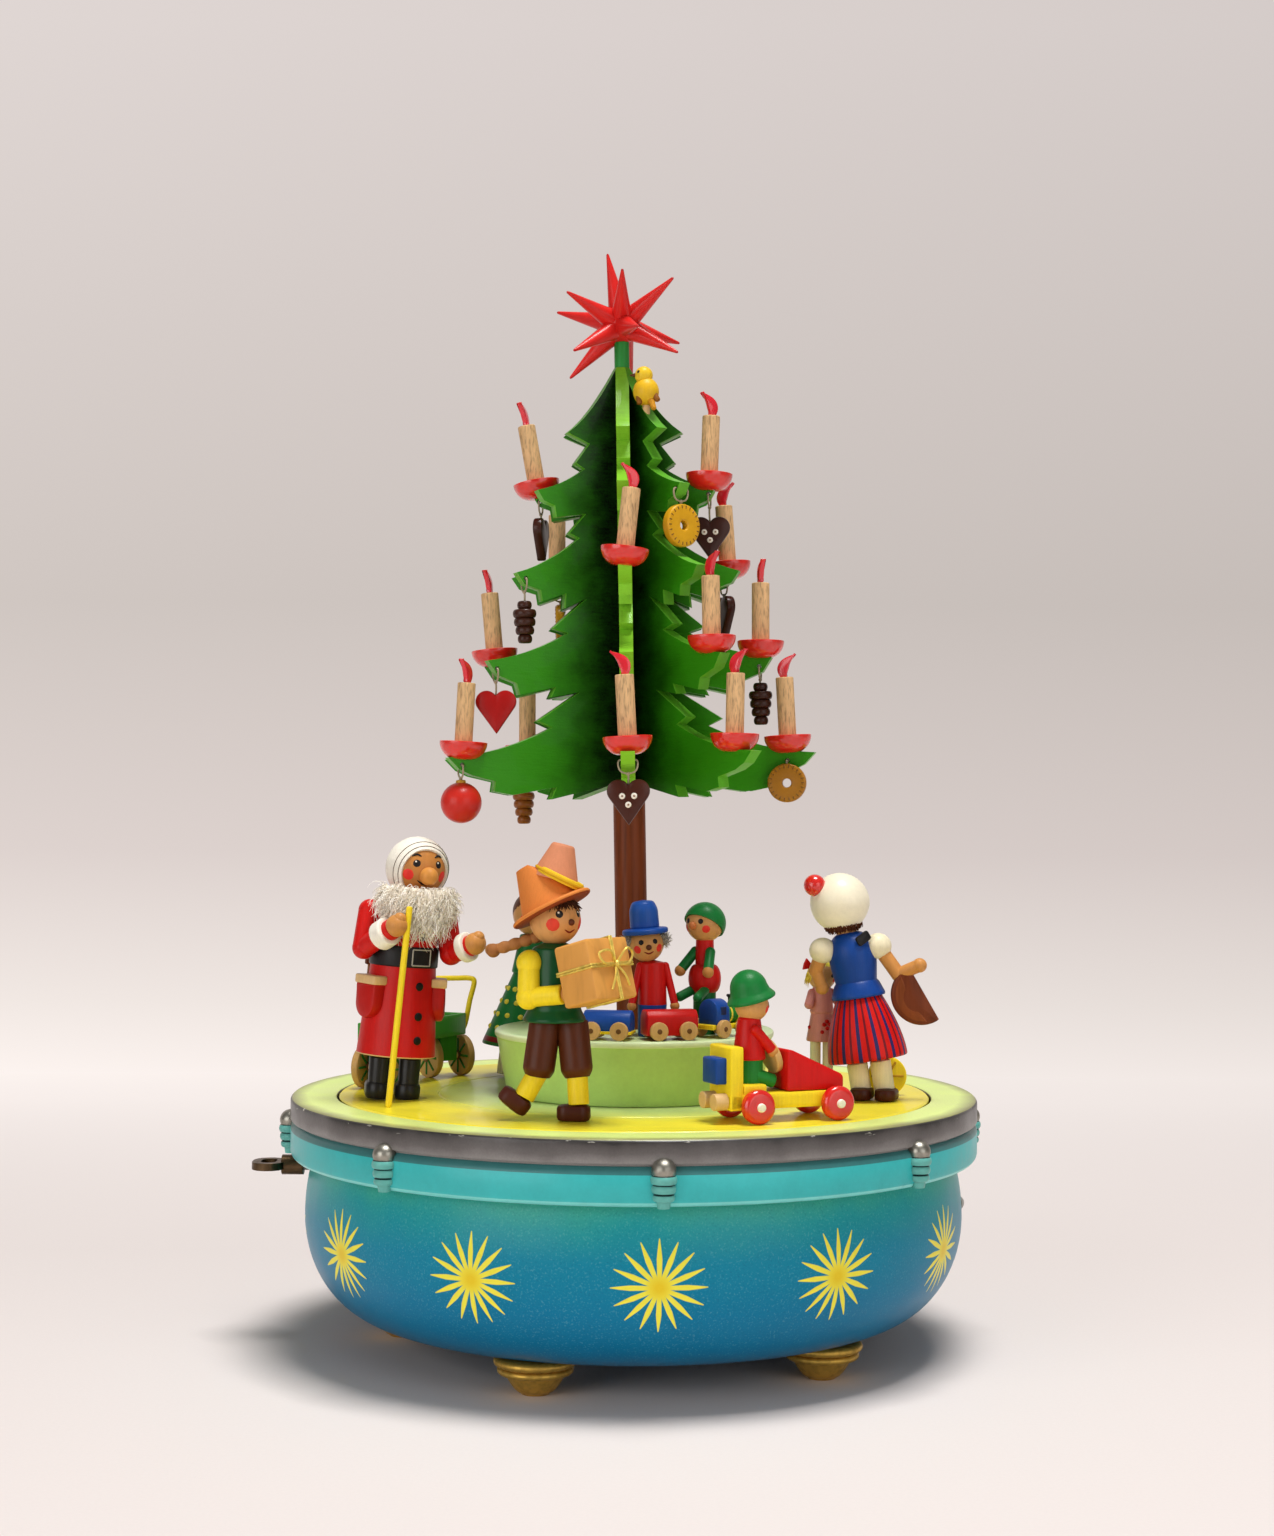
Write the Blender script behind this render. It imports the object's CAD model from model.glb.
"""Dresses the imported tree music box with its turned, sawn and painted wooden pieces.

Shapes are worked out in millimetres, from the turning axis at the table, with +Z up and -Y the front.
A bearing is an angle round the axis from the front, in degrees, positive to the right.
"""

import math

import bmesh
import bpy
import mathutils
import numpy as np
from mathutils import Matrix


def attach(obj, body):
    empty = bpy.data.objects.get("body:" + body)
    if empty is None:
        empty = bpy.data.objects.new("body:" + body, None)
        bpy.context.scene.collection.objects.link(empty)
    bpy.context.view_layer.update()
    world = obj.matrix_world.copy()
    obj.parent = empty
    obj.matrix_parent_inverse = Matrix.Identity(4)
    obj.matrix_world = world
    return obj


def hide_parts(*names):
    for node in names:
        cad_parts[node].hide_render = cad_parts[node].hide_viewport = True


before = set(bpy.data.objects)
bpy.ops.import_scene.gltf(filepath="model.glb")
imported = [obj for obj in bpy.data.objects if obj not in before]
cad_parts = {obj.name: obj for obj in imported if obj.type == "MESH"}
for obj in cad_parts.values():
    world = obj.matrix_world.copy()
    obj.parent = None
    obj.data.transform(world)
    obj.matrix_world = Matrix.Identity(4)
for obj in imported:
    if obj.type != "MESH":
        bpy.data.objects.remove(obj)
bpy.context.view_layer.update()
rng = np.random.default_rng(24)

# Heights above the table and radii that many pieces share, from the part's source
PLATE_Z = 80.0
PLATE_R = 94.7
RIM_R = 110.0
HOOP_Z = (61.0, 72.3)
MOUTH_Z = 61.0
BELLY_Z = 43.0
BOWL_R = 105.2
FOOT_H = 11.0
PEDESTAL_Z = 100.5
TREE_LEAN = 1.25


# Colours

def colour(text):
    """The linear colour of a written screen colour."""
    screen = np.array([int(text[i:i + 2], 16) for i in (1, 3, 5)]) / 255
    return np.where(screen <= 0.04045, screen / 12.92, ((screen + 0.055) / 1.055) ** 2.4)


def rgba(text):
    """The same colour with full opacity, as a socket takes it."""
    return (*colour(text), 1.0)


RED = "#c8130d"
DEEP_RED = "#b8150f"
BRIGHT_YELLOW = "#f2d324"
LEMON = "#f0dd4a"
PALE_WOOD = "#d8b27c"
HAND_WOOD = "#c98a48"
WHITE = "#efe8d8"
CREAM = "#ece0bd"
BLACK = "#1c1a1a"
DARK_BROWN = "#481c0f"
BROWN = "#54260f"
GREEN = "#1f7f2e"
DARK_GREEN = "#0a4b22"
BLUE = "#11408c"
AMBER = "#c3912c"
CHEEK = "#e2352c"


# Places

def shift(x, y, z):
    """A move along the axes, as a matrix."""
    place = np.eye(4)
    place[:3, 3] = x, y, z
    return place


def spin(axis, degrees):
    """A turn about the X, Y or Z axis."""
    i, j = {"x": (1, 2), "y": (2, 0), "z": (0, 1)}[axis]
    place = np.eye(4)
    place[i, i] = place[j, j] = math.cos(math.radians(degrees))
    place[j, i] = math.sin(math.radians(degrees))
    place[i, j] = -place[j, i]
    return place


def along(p, q):
    """Carries the Z axis onto the line from p towards q, with the origin at p."""
    z = np.subtract(q, p) / np.linalg.norm(np.subtract(q, p))
    helper = np.eye(3)[np.argmin(np.abs(z))]
    x = np.cross(helper, z)
    x = x / np.linalg.norm(x)
    place = np.eye(4)
    place[:3, :3] = np.column_stack([x, np.cross(z, x), z])
    place[:3, 3] = p
    return place


def stand(x, y, turn=0, lean=0, z=PLATE_Z):
    """Where a figure stands: turned on the spot, then leaning to its right."""
    return shift(x, y, z) @ spin("z", turn) @ spin("y", lean)


TREE = shift(0, 0, PLATE_Z) @ spin("y", -TREE_LEAN) @ shift(0, 0, -PLATE_Z)


def on_bearing(bearing, r, z):
    """A place at a distance from the axis and a height, turned to face outwards."""
    return spin("z", bearing) @ shift(0, -r, z)


def direction(bearing, elevation):
    """The unit vector on a bearing and an elevation, in degrees."""
    b, e = np.radians(bearing), np.radians(elevation)
    return np.stack([np.sin(b) * np.cos(e), -np.cos(b) * np.cos(e), np.sin(e)], -1)


# Shapes

class Shape:
    """Points in millimetres, faces as arrays of point numbers, and one colour for each face."""

    def __init__(self, points, faces, tint="#ffffff", tints=None):
        self.points = np.asarray(points, float)
        self.faces = [f for f in faces if len(f)]
        self.tints = tints or [np.tile(colour(tint), (len(f), 1)) for f in self.faces]

    def at(self, place):
        """The shape carried by a matrix."""
        return Shape(self.points @ place[:3, :3].T + place[:3, 3], self.faces, tints=self.tints)

    def tint(self, text):
        """The shape in one colour."""
        return Shape(self.points, self.faces, text)

    def tint_where(self, rule, text):
        """Colours the faces whose centres meet the rule, which takes an array of points."""
        tints = [np.where(rule(self.points[f].mean(1))[:, None], colour(text), t)
                 for f, t in zip(self.faces, self.tints)]
        return Shape(self.points, self.faces, tints=tints)

    def stretched(self, x, y, z):
        """The shape scaled along the axes about the origin."""
        return Shape(self.points * (x, y, z), self.faces, tints=self.tints)


def joined(*shapes):
    """Several shapes as one, each with its own points."""
    flat = [s for item in shapes for s in (item if isinstance(item, (list, tuple)) else [item])]
    starts = np.cumsum([0] + [len(s.points) for s in flat[:-1]])
    faces = [f + start for s, start in zip(flat, starts) for f in s.faces]
    tints = [t for s in flat for t in s.tints]
    return Shape(np.concatenate([s.points for s in flat]), faces, tints=tints)


def skin(rings, start=None, end=None, loop=False, tint="#ffffff"):
    """Quads between successive rings of points, which turn anticlockwise seen from the end they run to.

    A start or end point closes that end with a fan, and a loop joins the last ring to the first."""
    rings = np.asarray(rings, float)
    rows, cols = rings.shape[:2]
    index = np.arange(rows * cols).reshape(rows, cols)
    index_next = np.roll(index, -1, axis=1)
    last = rows if loop else rows - 1
    upper = np.roll(index, -1, axis=0)[:last]
    upper_next = np.roll(index_next, -1, axis=0)[:last]
    quads = np.stack([index[:last], index_next[:last], upper_next, upper], -1).reshape(-1, 4)
    points, fans = [rings.reshape(-1, 3)], []
    for tip, near, far in ((start, index_next[0], index[0]), (end, index[-1], index_next[-1])):
        if tip is not None:
            fans.append(np.stack([near, far, np.full(cols, sum(len(p) for p in points))], -1))
            points.append(np.asarray([tip], float))
    return Shape(np.concatenate(points), [quads, *fans], tint)


def soften(profile, r, loop=False, steps=5):
    """Rounds a profile's corners: each becomes a parabola that leaves its sides within r of the corner."""
    profile = np.asarray(profile, float)
    before, after = np.roll(profile, 1, axis=0), np.roll(profile, -1, axis=0)
    kept = []
    for i, corner in enumerate(profile):
        sides = before[i] - corner, after[i] - corner
        lengths = [np.linalg.norm(s) for s in sides]
        bent = min(lengths) > 1e-6 and np.dot(*sides) / np.prod(lengths) > -0.95
        if not bent or (not loop and i in (0, len(profile) - 1)):
            kept.append(corner[None])
            continue
        ends = [corner + s / n * min(r, 0.45 * n) for s, n in zip(sides, lengths)]
        t = np.linspace(0, 1, steps)[:, None]
        kept.append((1 - t) ** 2 * ends[0] + 2 * t * (1 - t) * corner + t ** 2 * ends[1])
    return np.concatenate(kept)


def turned(profile, sides=64, soft=0.0, tint="#ffffff"):
    """A profile of radius and height carried round the Z axis. It closes on the axis or on itself."""
    profile = np.asarray(profile, float)
    loop = profile[0, 0] > 1e-6 and profile[-1, 0] > 1e-6
    if soft:
        profile = soften(profile, soft, loop)
    axis = profile[:, 0] < 1e-6
    wall = profile[~axis]
    angle = np.linspace(0, 2 * np.pi, sides, endpoint=False)
    height = np.repeat(wall[:, 1:], sides, axis=1)
    rings = np.stack([wall[:, :1] * np.cos(angle), wall[:, :1] * np.sin(angle), height], -1)
    start = (0, 0, profile[0, 1]) if axis[0] else None
    end = (0, 0, profile[-1, 1]) if axis[-1] else None
    return skin(rings, start, end, loop, tint)


def arc(centre, r, a, b, n=14):
    """Points of a circle between two angles in degrees."""
    t = np.radians(np.linspace(a, b, n))
    return np.column_stack([centre[0] + r * np.cos(t), centre[1] + r * np.sin(t)])


def quarter(p, q, n=24):
    """A quarter of an ellipse that leaves p sideways and reaches q upright."""
    t = np.linspace(0, np.pi / 2, n)
    return np.column_stack([p[0] + (q[0] - p[0]) * np.sin(t), p[1] + (q[1] - p[1]) * (1 - np.cos(t))])


def bead(r, d, z0, z1, n=12):
    """A bead between two heights that bulges from radius r - d to r."""
    t = np.linspace(0, np.pi, n)
    return np.column_stack([r - d + d * np.sin(t), (z0 + z1) / 2 - (z1 - z0) / 2 * np.cos(t)])


def ball(centre, r, tint="#ffffff", stretch=(1, 1, 1), rows=22, cols=36):
    """A sphere as a half circle turned about Z, stretched along the axes."""
    t = np.linspace(-np.pi / 2, np.pi / 2, rows)
    profile = np.column_stack([r * np.cos(t), r * np.sin(t)])
    profile[[0, -1], 0] = 0
    return turned(profile, cols, tint=tint).stretched(*stretch).at(shift(*centre))


def rod(p, q, r, r_end=None, soft=0.35, sides=28, tint="#ffffff"):
    """A round rod or cone from p to q with eased ends."""
    length = np.linalg.norm(np.subtract(q, p))
    profile = [(0, 0), (r, 0), (r if r_end is None else r_end, length), (0, length)]
    return turned(profile, sides, soft, tint).at(along(p, q))


def limb(points, r, tint="#ffffff"):
    """Rods between the points with a ball at each of them."""
    rods = [rod(p, q, r, soft=0, tint=tint) for p, q in zip(points[:-1], points[1:])]
    return joined(rods, [ball(p, r * 1.01, tint) for p in points])


def smooth(points, steps=12):
    """A Catmull-Rom curve through the points."""
    p = np.asarray(points, float)
    p = np.concatenate([2 * p[:1] - p[1:2], p, 2 * p[-1:] - p[-2:-1]])
    t = np.linspace(0, 1, steps, endpoint=False)[None, :, None]
    a, b, c, d = (p[i:len(p) - 3 + i, None] for i in range(4))
    runs = 0.5 * (2 * b + (c - a) * t + (2 * a - 5 * b + 4 * c - d) * t ** 2
                  + (3 * b - a - 3 * c + d) * t ** 3)
    return np.concatenate([runs.reshape(-1, 3), p[-2:-1]])


def tube(path, r, sides=10, tint="#ffffff", flat=1.0, side=None):
    """A round or flattened section carried along a path, kept square to it, with rounded ends."""
    path = np.asarray(path, float)
    r = np.broadcast_to(np.asarray(r, float), len(path)).copy()
    ahead = np.gradient(path, axis=0)
    ahead /= np.linalg.norm(ahead, axis=1)[:, None]
    helper = np.asarray(side if side is not None else np.eye(3)[np.argmin(np.abs(ahead).sum(0))], float)
    x = np.cross(helper, ahead)
    x /= np.linalg.norm(x, axis=1)[:, None]
    y = np.cross(ahead, x)
    cap = np.array([0.35, 0.75])
    lead, tail = r[0] * (1 - cap), r[-1] * (1 - cap[::-1])
    path = np.concatenate([path[:1] - ahead[:1] * lead[:, None], path,
                           path[-1:] + ahead[-1:] * tail[:, None]])
    x, y = (np.concatenate([v[[0, 0]], v, v[[-1, -1]]]) for v in (x, y))
    r = np.concatenate([r[0] * np.sin(np.arccos(1 - cap)), r, r[-1] * np.sin(np.arccos(1 - cap[::-1]))])
    t = np.linspace(0, 2 * np.pi, sides, endpoint=False)
    rings = path[:, None] + r[:, None, None] * (np.cos(t)[None, :, None] * x[:, None]
                                                + flat * np.sin(t)[None, :, None] * y[:, None])
    return skin(rings, path[0] - ahead[0] * r[0] * 0.2, path[-1] + ahead[-1] * r[-1] * 0.2, tint=tint)


def slab(outline, thick, edge=0.4, crown=0.0, tint="#ffffff", centre=None):
    """A flat outline in X and Z, anticlockwise from the front, given a thickness in Y with eased edges.

    The rings draw in towards the outline's own normals, and fans from the centre close both faces."""
    outline = np.asarray(outline, float)
    ahead = np.roll(outline, -1, axis=0) - np.roll(outline, 1, axis=0)
    ahead /= np.linalg.norm(ahead, axis=1)[:, None]
    inward = np.column_stack([-ahead[:, 1], ahead[:, 0]])
    half = thick / 2
    rings = []
    for inset, y in ((1, half), (0.3, half - 0.3 * edge), (0, half - edge), (0, edge - half),
                     (0.3, 0.3 * edge - half), (1, -half)):
        ring = outline + inward * inset * edge
        rings.append(np.column_stack([ring[:, 0], np.full(len(ring), y), ring[:, 1]]))
    middle = outline.mean(0) if centre is None else np.asarray(centre, float)
    back, front = (np.array([middle[0], y, middle[1]]) for y in (half + crown, -half - crown))
    inner = [r + (tip - r) * 0.5 for r, tip in ((rings[0], back), (rings[-1], front))]
    if crown:
        inner[0][:, 1] = half + crown * 0.75
        inner[1][:, 1] = -half - crown * 0.75
    return skin([inner[0], *rings, inner[1]], back, front, tint=tint)


def box_outline(w, h, r=0.6, n=4):
    """A rectangle about the origin whose corners are quarter circles."""
    corners = ((1, -1, -90), (1, 1, 0), (-1, 1, 90), (-1, -1, 180))
    return np.concatenate([arc((sx * (w / 2 - r), sz * (h / 2 - r)), r, a, a + 90, n)
                           for sx, sz, a in corners])


def block(w, d, h, edge=0.4, tint="#ffffff"):
    """A box of that width, depth and height about the origin, with eased edges."""
    return slab(box_outline(w, h, edge * 1.2), d, edge, tint=tint)


def shell(inner_r, outer_r, edge, rows, sides, tint):
    """A hollow cap: two arcs from the crown to an edge, in degrees from straight down, turned about Z."""
    a = np.radians(np.linspace(180, edge, rows))
    half = np.column_stack([np.sin(a), -np.cos(a)])
    half[0, 0] = 0
    return turned(np.concatenate([inner_r * half, outer_r * half[::-1]]), sides, tint=tint)


def spoked(r, half, text, count, run, thick, mark):
    """A disc on the Z axis with spokes on both faces, as half-sunk rods between the run's two radii."""
    disc = turned([(0, -half), (r, -half), (r, half), (0, half)], 44, 0.5, text)
    spokes = [rod((run[0], 0, z), (run[1], 0, z), thick, sides=8, tint=mark).at(spin("z", 360 / count * k))
              for k in range(count) for z in (-half, half)]
    return joined(disc, spokes)


def stadium(r_heel, r_toe, length, n=14):
    """The outline of a sole: two round ends with straight sides, heel at the origin and toe at -Y."""
    lean = math.degrees(math.asin((r_heel - r_toe) / length))
    toe = arc((0, -length), r_toe, 180 - lean, 360 + lean, n)
    return np.concatenate([toe, arc((0, 0), r_heel, lean, 180 - lean, n)])


def sole(r_heel, r_toe, length, height, edge=1.0, tint="#ffffff"):
    """A shoe or boot foot that stands on the origin with its toe towards -Y."""
    flat = slab(stadium(r_heel, r_toe, length), height, edge, 0.3, tint, (0, -length / 2))
    return flat.at(shift(0, 0, height / 2) @ spin("x", 90))


def spot(centre, r, bearing, elevation, size, tint=BLACK, lift=0.14):
    """A painted spot on a ball: a cap that rises a hair above it and tapers to its edge."""
    reach = math.asin(min(0.98, size / r))
    a = np.linspace(reach, 0, 6)
    rise = r + lift * (1 - (a / reach) ** 3) - 0.02
    cap = np.column_stack([rise * np.sin(a), rise * np.cos(a)])
    cap[-1, 0] = 0
    profile = np.concatenate([[(0, r * math.cos(reach) - 0.3)], [(cap[0, 0], cap[0, 1] - 0.25)], cap])
    return turned(profile, 24, tint=tint).at(along(centre, np.add(centre, direction(bearing, elevation))))


def stroke(centre, r, marks, width, tint=BLACK):
    """A painted line over a ball through bearings and elevations, as a thin half-sunk tube."""
    marks = np.asarray(marks, float)
    fine = smooth(np.column_stack([marks, np.zeros(len(marks))]), 8)
    path = np.asarray(centre) + r * direction(fine[:, 0], fine[:, 1])
    taper = np.sin(np.linspace(0.25, np.pi - 0.25, len(path))) ** 0.5
    return tube(path, width / 2 * taper, 8, tint)


def features(centre, r, eyes, cheeks, turn=0, blush=CHEEK):
    """Two eyes and two cheeks on a ball: each pair has a bearing to both sides, an elevation and a size."""
    marks = []
    for (bearing, elevation, size), text in ((eyes, BLACK), (cheeks, blush)):
        marks += [spot(centre, r, turn + side * bearing, elevation, size, text) for side in (-1, 1)]
    return marks


# Materials

class Value:
    """A socket of a shader tree. Arithmetic on it adds Math nodes."""

    def __init__(self, finish, socket):
        self.finish = finish
        self.socket = socket

    def math(self, operation, *values, clamp=False):
        """A Math node on the values."""
        sockets = {i: v for i, v in enumerate(values)}
        return self.finish.node("Math", {"operation": operation, "use_clamp": clamp}, sockets)

    def __add__(self, other):
        return self.math("ADD", self, other)

    def __sub__(self, other):
        return self.math("SUBTRACT", self, other)

    def __rsub__(self, other):
        return self.math("SUBTRACT", other, self)

    def __mul__(self, other):
        return self.math("MULTIPLY", self, other)

    def __truediv__(self, other):
        return self.math("DIVIDE", self, other)

    __radd__ = __add__
    __rmul__ = __mul__

    def clamped(self):
        """The value kept between 0 and 1."""
        return self.math("ADD", self, 0.0, clamp=True)

    def fraction(self):
        """What is left over the whole number below."""
        return self.math("FRACT", self)

    def size(self):
        """The value without its sign."""
        return self.math("ABSOLUTE", self)

    def power(self, exponent):
        """The value raised to an exponent."""
        return self.math("POWER", self, exponent)


class Finish:
    """The node tree of one material, ending in its Principled shader."""

    def __init__(self, name):
        self.material = bpy.data.materials.new(name)
        self.material.use_nodes = True
        self.tree = self.material.node_tree
        self.shader = self.tree.nodes["Principled BSDF"]

    def node(self, kind, settings=None, inputs=None, output=None):
        """Adds a node: its settings, then its sockets, named or numbered. Returns the output's value."""
        node = self.tree.nodes.new("ShaderNode" + kind)
        for key, value in (settings or {}).items():
            if key == "stops":
                ramp = node.color_ramp.elements
                while len(ramp) < len(value):
                    ramp.new(0.5)
                for stop, (place, text) in zip(ramp, value):
                    stop.position = place
                    stop.color = rgba(text)
            else:
                setattr(node, key, value)
        for key, value in (inputs or {}).items():
            sockets = [s for s in node.inputs if s.enabled and key in (s.name, list(node.inputs).index(s))]
            self.join(sockets[0], value)
        outputs = [s for s in node.outputs if s.enabled]
        if isinstance(output, tuple):
            return tuple(Value(self, node.outputs[name]) for name in output)
        return Value(self, node.outputs[output] if output else outputs[0])

    def join(self, socket, value):
        """Links a value to a socket, or sets the socket to a plain number, colour or vector."""
        if isinstance(value, Value):
            self.tree.links.new(value.socket, socket)
        else:
            socket.default_value = value

    def put(self, **sockets):
        """Sets the shader's sockets, written with underscores."""
        for key, value in sockets.items():
            self.join(self.shader.inputs[key.replace("_", " ").title().replace("Ior", "IOR")], value)

    def place(self):
        """Object coordinates, in metres from the part's origin."""
        return self.node("TexCoord", output="Object")

    def noise(self, scale, detail=3.0, place=None):
        """Smooth noise, with a scale for each axis in waves per metre."""
        mapped = self.node("Mapping", inputs={"Vector": place or self.place(), "Scale": scale})
        return self.node("TexNoise", inputs={"Vector": mapped, "Scale": 1.0, "Detail": detail})

    def mix(self, factor, a, b, blend="MIX"):
        """One colour blended into another by a factor."""
        return self.node("Mix", {"data_type": "RGBA", "blend_type": blend},
                         {"Factor": factor, "A": a, "B": b})

    def shaded(self, base, shade):
        """A colour times a shade."""
        return self.mix(1.0, base, shade, "MULTIPLY")

    def bump(self, height, millimetres, strength=1.0):
        """Relief of that depth from a height between 0 and 1."""
        self.put(normal=self.node("Bump", inputs={"Height": height, "Distance": millimetres / 1000,
                                                  "Strength": strength}))

    def paint(self):
        """The colour that the piece's faces carry."""
        return self.node("Attribute", {"attribute_name": "paint"}, output="Color")


FIBRE = (1500.0, 1500.0, 90.0)


def painted_wood(name, rough=0.42, coat=0.06, grain=0.26, relief=0.05, fibre=FIBRE, rub=0.14):
    """Brushed paint over wood: fibres show through, thin places are paler and the sheen is uneven."""
    finish = Finish(name)
    grain_lines = finish.noise(fibre, 4.0)
    clouds = finish.noise((140.0, 140.0, 140.0), 2.0)
    flecks = finish.noise((2600.0, 2600.0, 2600.0), 2.0)
    shade = 1.0 + (grain_lines - 0.5) * grain + (clouds - 0.5) * 0.22 + (flecks - 0.5) * rub
    finish.put(base_color=finish.shaded(finish.paint(), shade))
    finish.put(roughness=rough + (clouds - 0.5) * 0.25 + (grain_lines - 0.5) * 0.12, coat_weight=coat)
    finish.shader.inputs["Coat Roughness"].default_value = 0.22
    finish.shader.inputs["Specular IOR Level"].default_value = 0.18
    finish.bump(grain_lines + flecks * 0.5, relief)
    return finish.material


def bare_wood(name, fibre=(900.0, 900.0, 55.0), contrast=0.75, rough=0.5, depth=0.42):
    """Varnished wood: long dark pores and soft growth rings along the fibre."""
    finish = Finish(name)
    pores = finish.noise(fibre, 5.0)
    streak = finish.noise(tuple(s * 0.35 for s in fibre), 3.0)
    dark = ((pores - 0.48) * 5.0).clamped() * contrast
    base = finish.paint()
    shade = 1.12 - dark * depth + (streak - 0.5) * 0.7 * contrast
    finish.put(base_color=finish.shaded(base, shade), roughness=rough + (pores - 0.5) * 0.3,
               coat_weight=0.05)
    finish.shader.inputs["Specular IOR Level"].default_value = 0.15
    finish.bump(pores, 0.06)
    return finish.material


def lacquer(name, rough=0.2, coat=0.5):
    """Gloss paint with a faint unevenness and dust."""
    finish = Finish(name)
    ripple = finish.noise((420.0, 420.0, 420.0), 2.0)
    dust = finish.noise((3000.0, 3000.0, 3000.0), 2.0)
    shade = 1.0 + (ripple - 0.5) * 0.3 + (dust - 0.5) * 0.12
    finish.put(base_color=finish.shaded(finish.paint(), shade), roughness=rough + (ripple - 0.5) * 0.2)
    finish.put(coat_weight=coat)
    finish.shader.inputs["Coat Roughness"].default_value = 0.1
    finish.bump(ripple, 0.04)
    return finish.material


def metal(name, rough=0.35, tarnish=0.35, metallic=1.0):
    """Worn metal whose tarnish darkens and dulls it in patches."""
    finish = Finish(name)
    patches = finish.noise((520.0, 520.0, 520.0), 4.0)
    scratches = finish.noise((4000.0, 4000.0, 400.0), 2.0)
    dull = ((patches - 0.42) * 3.0).clamped() * tarnish
    finish.put(base_color=finish.shaded(finish.paint(), 1.05 - dull * 0.8), metallic=metallic)
    finish.put(roughness=rough + dull * 0.4 + (scratches - 0.5) * 0.15)
    finish.bump(scratches, 0.02)
    return finish.material


def bowl_paint():
    """Airbrushed blue deepening downwards, with twelve sunburst stars from bearing and surface length."""
    finish = Finish("bowl_airbrush")
    x, y, z = finish.node("SeparateXYZ", inputs={0: finish.place()}, output=("X", "Y", "Z"))
    mist = finish.noise((60.0, 60.0, 60.0), 3.0)
    spray = finish.noise((1700.0, 1700.0, 1700.0), 2.0)
    height = (z * 1000.0 - 12.0) / 49.0 + (mist - 0.5) * 0.16
    stops = [(0.0, "#005f86"), (0.35, "#00749a"), (0.66, "#0c84a0"), (0.86, "#27979b"), (1.0, "#3fa48f")]
    ground = finish.node("ValToRGB", {"stops": stops}, {"Fac": height.clamped()})
    dots = ((spray - 0.58) * 9.0).clamped() * 0.1
    ground = finish.mix(dots, ground, rgba("#9fe0d2"))
    pits = ((0.42 - spray) * 8.0).clamped() * 0.25
    ground = finish.mix(pits, ground, rgba("#12556f"))
    length = finish.node("Attribute", {"attribute_name": "length"}, output="Fac")
    turn = x.math("ARCTAN2", x, y * -1.0) * (180 / math.pi) - 4.06
    side = ((turn / 30.0 + 100.5).fraction() - 0.5) * 54.8
    out = (side * side + length * length).power(0.5)
    angle = x.math("ARCTAN2", length, side) * (16 / (2 * math.pi))
    off = ((angle + 100.5).fraction() - 0.5).size() * out * (2 * math.pi / 16)
    width = ((14.6 - out) / 6.5).clamped() * (0.55 + out * 0.03)
    ray = ((width - off) * 6.0 + 0.5).clamped() * ((13.9 - out) * 4.0).clamped()
    gilt = finish.mix(((out - 1.0) / 3.5).clamped(), rgba("#efcd18"), rgba("#f6ea44"))
    finish.put(base_color=finish.mix(ray * 0.97, ground, gilt), coat_weight=0.1)
    finish.put(roughness=0.36 + (mist - 0.5) * 0.3 + (spray - 0.5) * 0.12)
    finish.shader.inputs["Coat Roughness"].default_value = 0.2
    finish.shader.inputs["Specular IOR Level"].default_value = 0.1
    finish.bump(spray * 0.4 + ray * 0.6, 0.05)
    return finish.material


def plate_paint():
    """Yellow paint that thins to grey green inside the turned line, with brushed rings and speckles."""
    finish = Finish("turntable_yellow")
    x, y, _ = finish.node("SeparateXYZ", inputs={0: finish.place()}, output=("X", "Y", "Z"))
    out = (x * x + y * y).power(0.5) * 1000.0
    mist = finish.noise((90.0, 90.0, 90.0), 3.0)
    spray = finish.noise((1500.0, 1500.0, 1500.0), 2.0)
    stops = [(0.0, "#a3bd88"), (0.52, "#b7c97c"), (0.64, "#cbd26a"), (0.68, "#dcd956"), (0.74, "#eede3a"),
             (1.0, "#ecd92c")]
    ramp = finish.node("ValToRGB", {"stops": stops}, {"Fac": ((out + (mist - 0.5) * 8.0) / 94.7).clamped()})
    shade = 1.0 + (mist - 0.5) * 0.16 + (spray - 0.5) * 0.2
    finish.put(base_color=finish.shaded(ramp, shade), roughness=0.38 + (mist - 0.5) * 0.3, coat_weight=0.15)
    finish.shader.inputs["Specular IOR Level"].default_value = 0.3
    rings = (out * 1.7).math("SINE", out * 1.7)
    finish.bump(spray + rings * 0.3, 0.05)
    return finish.material


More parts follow.
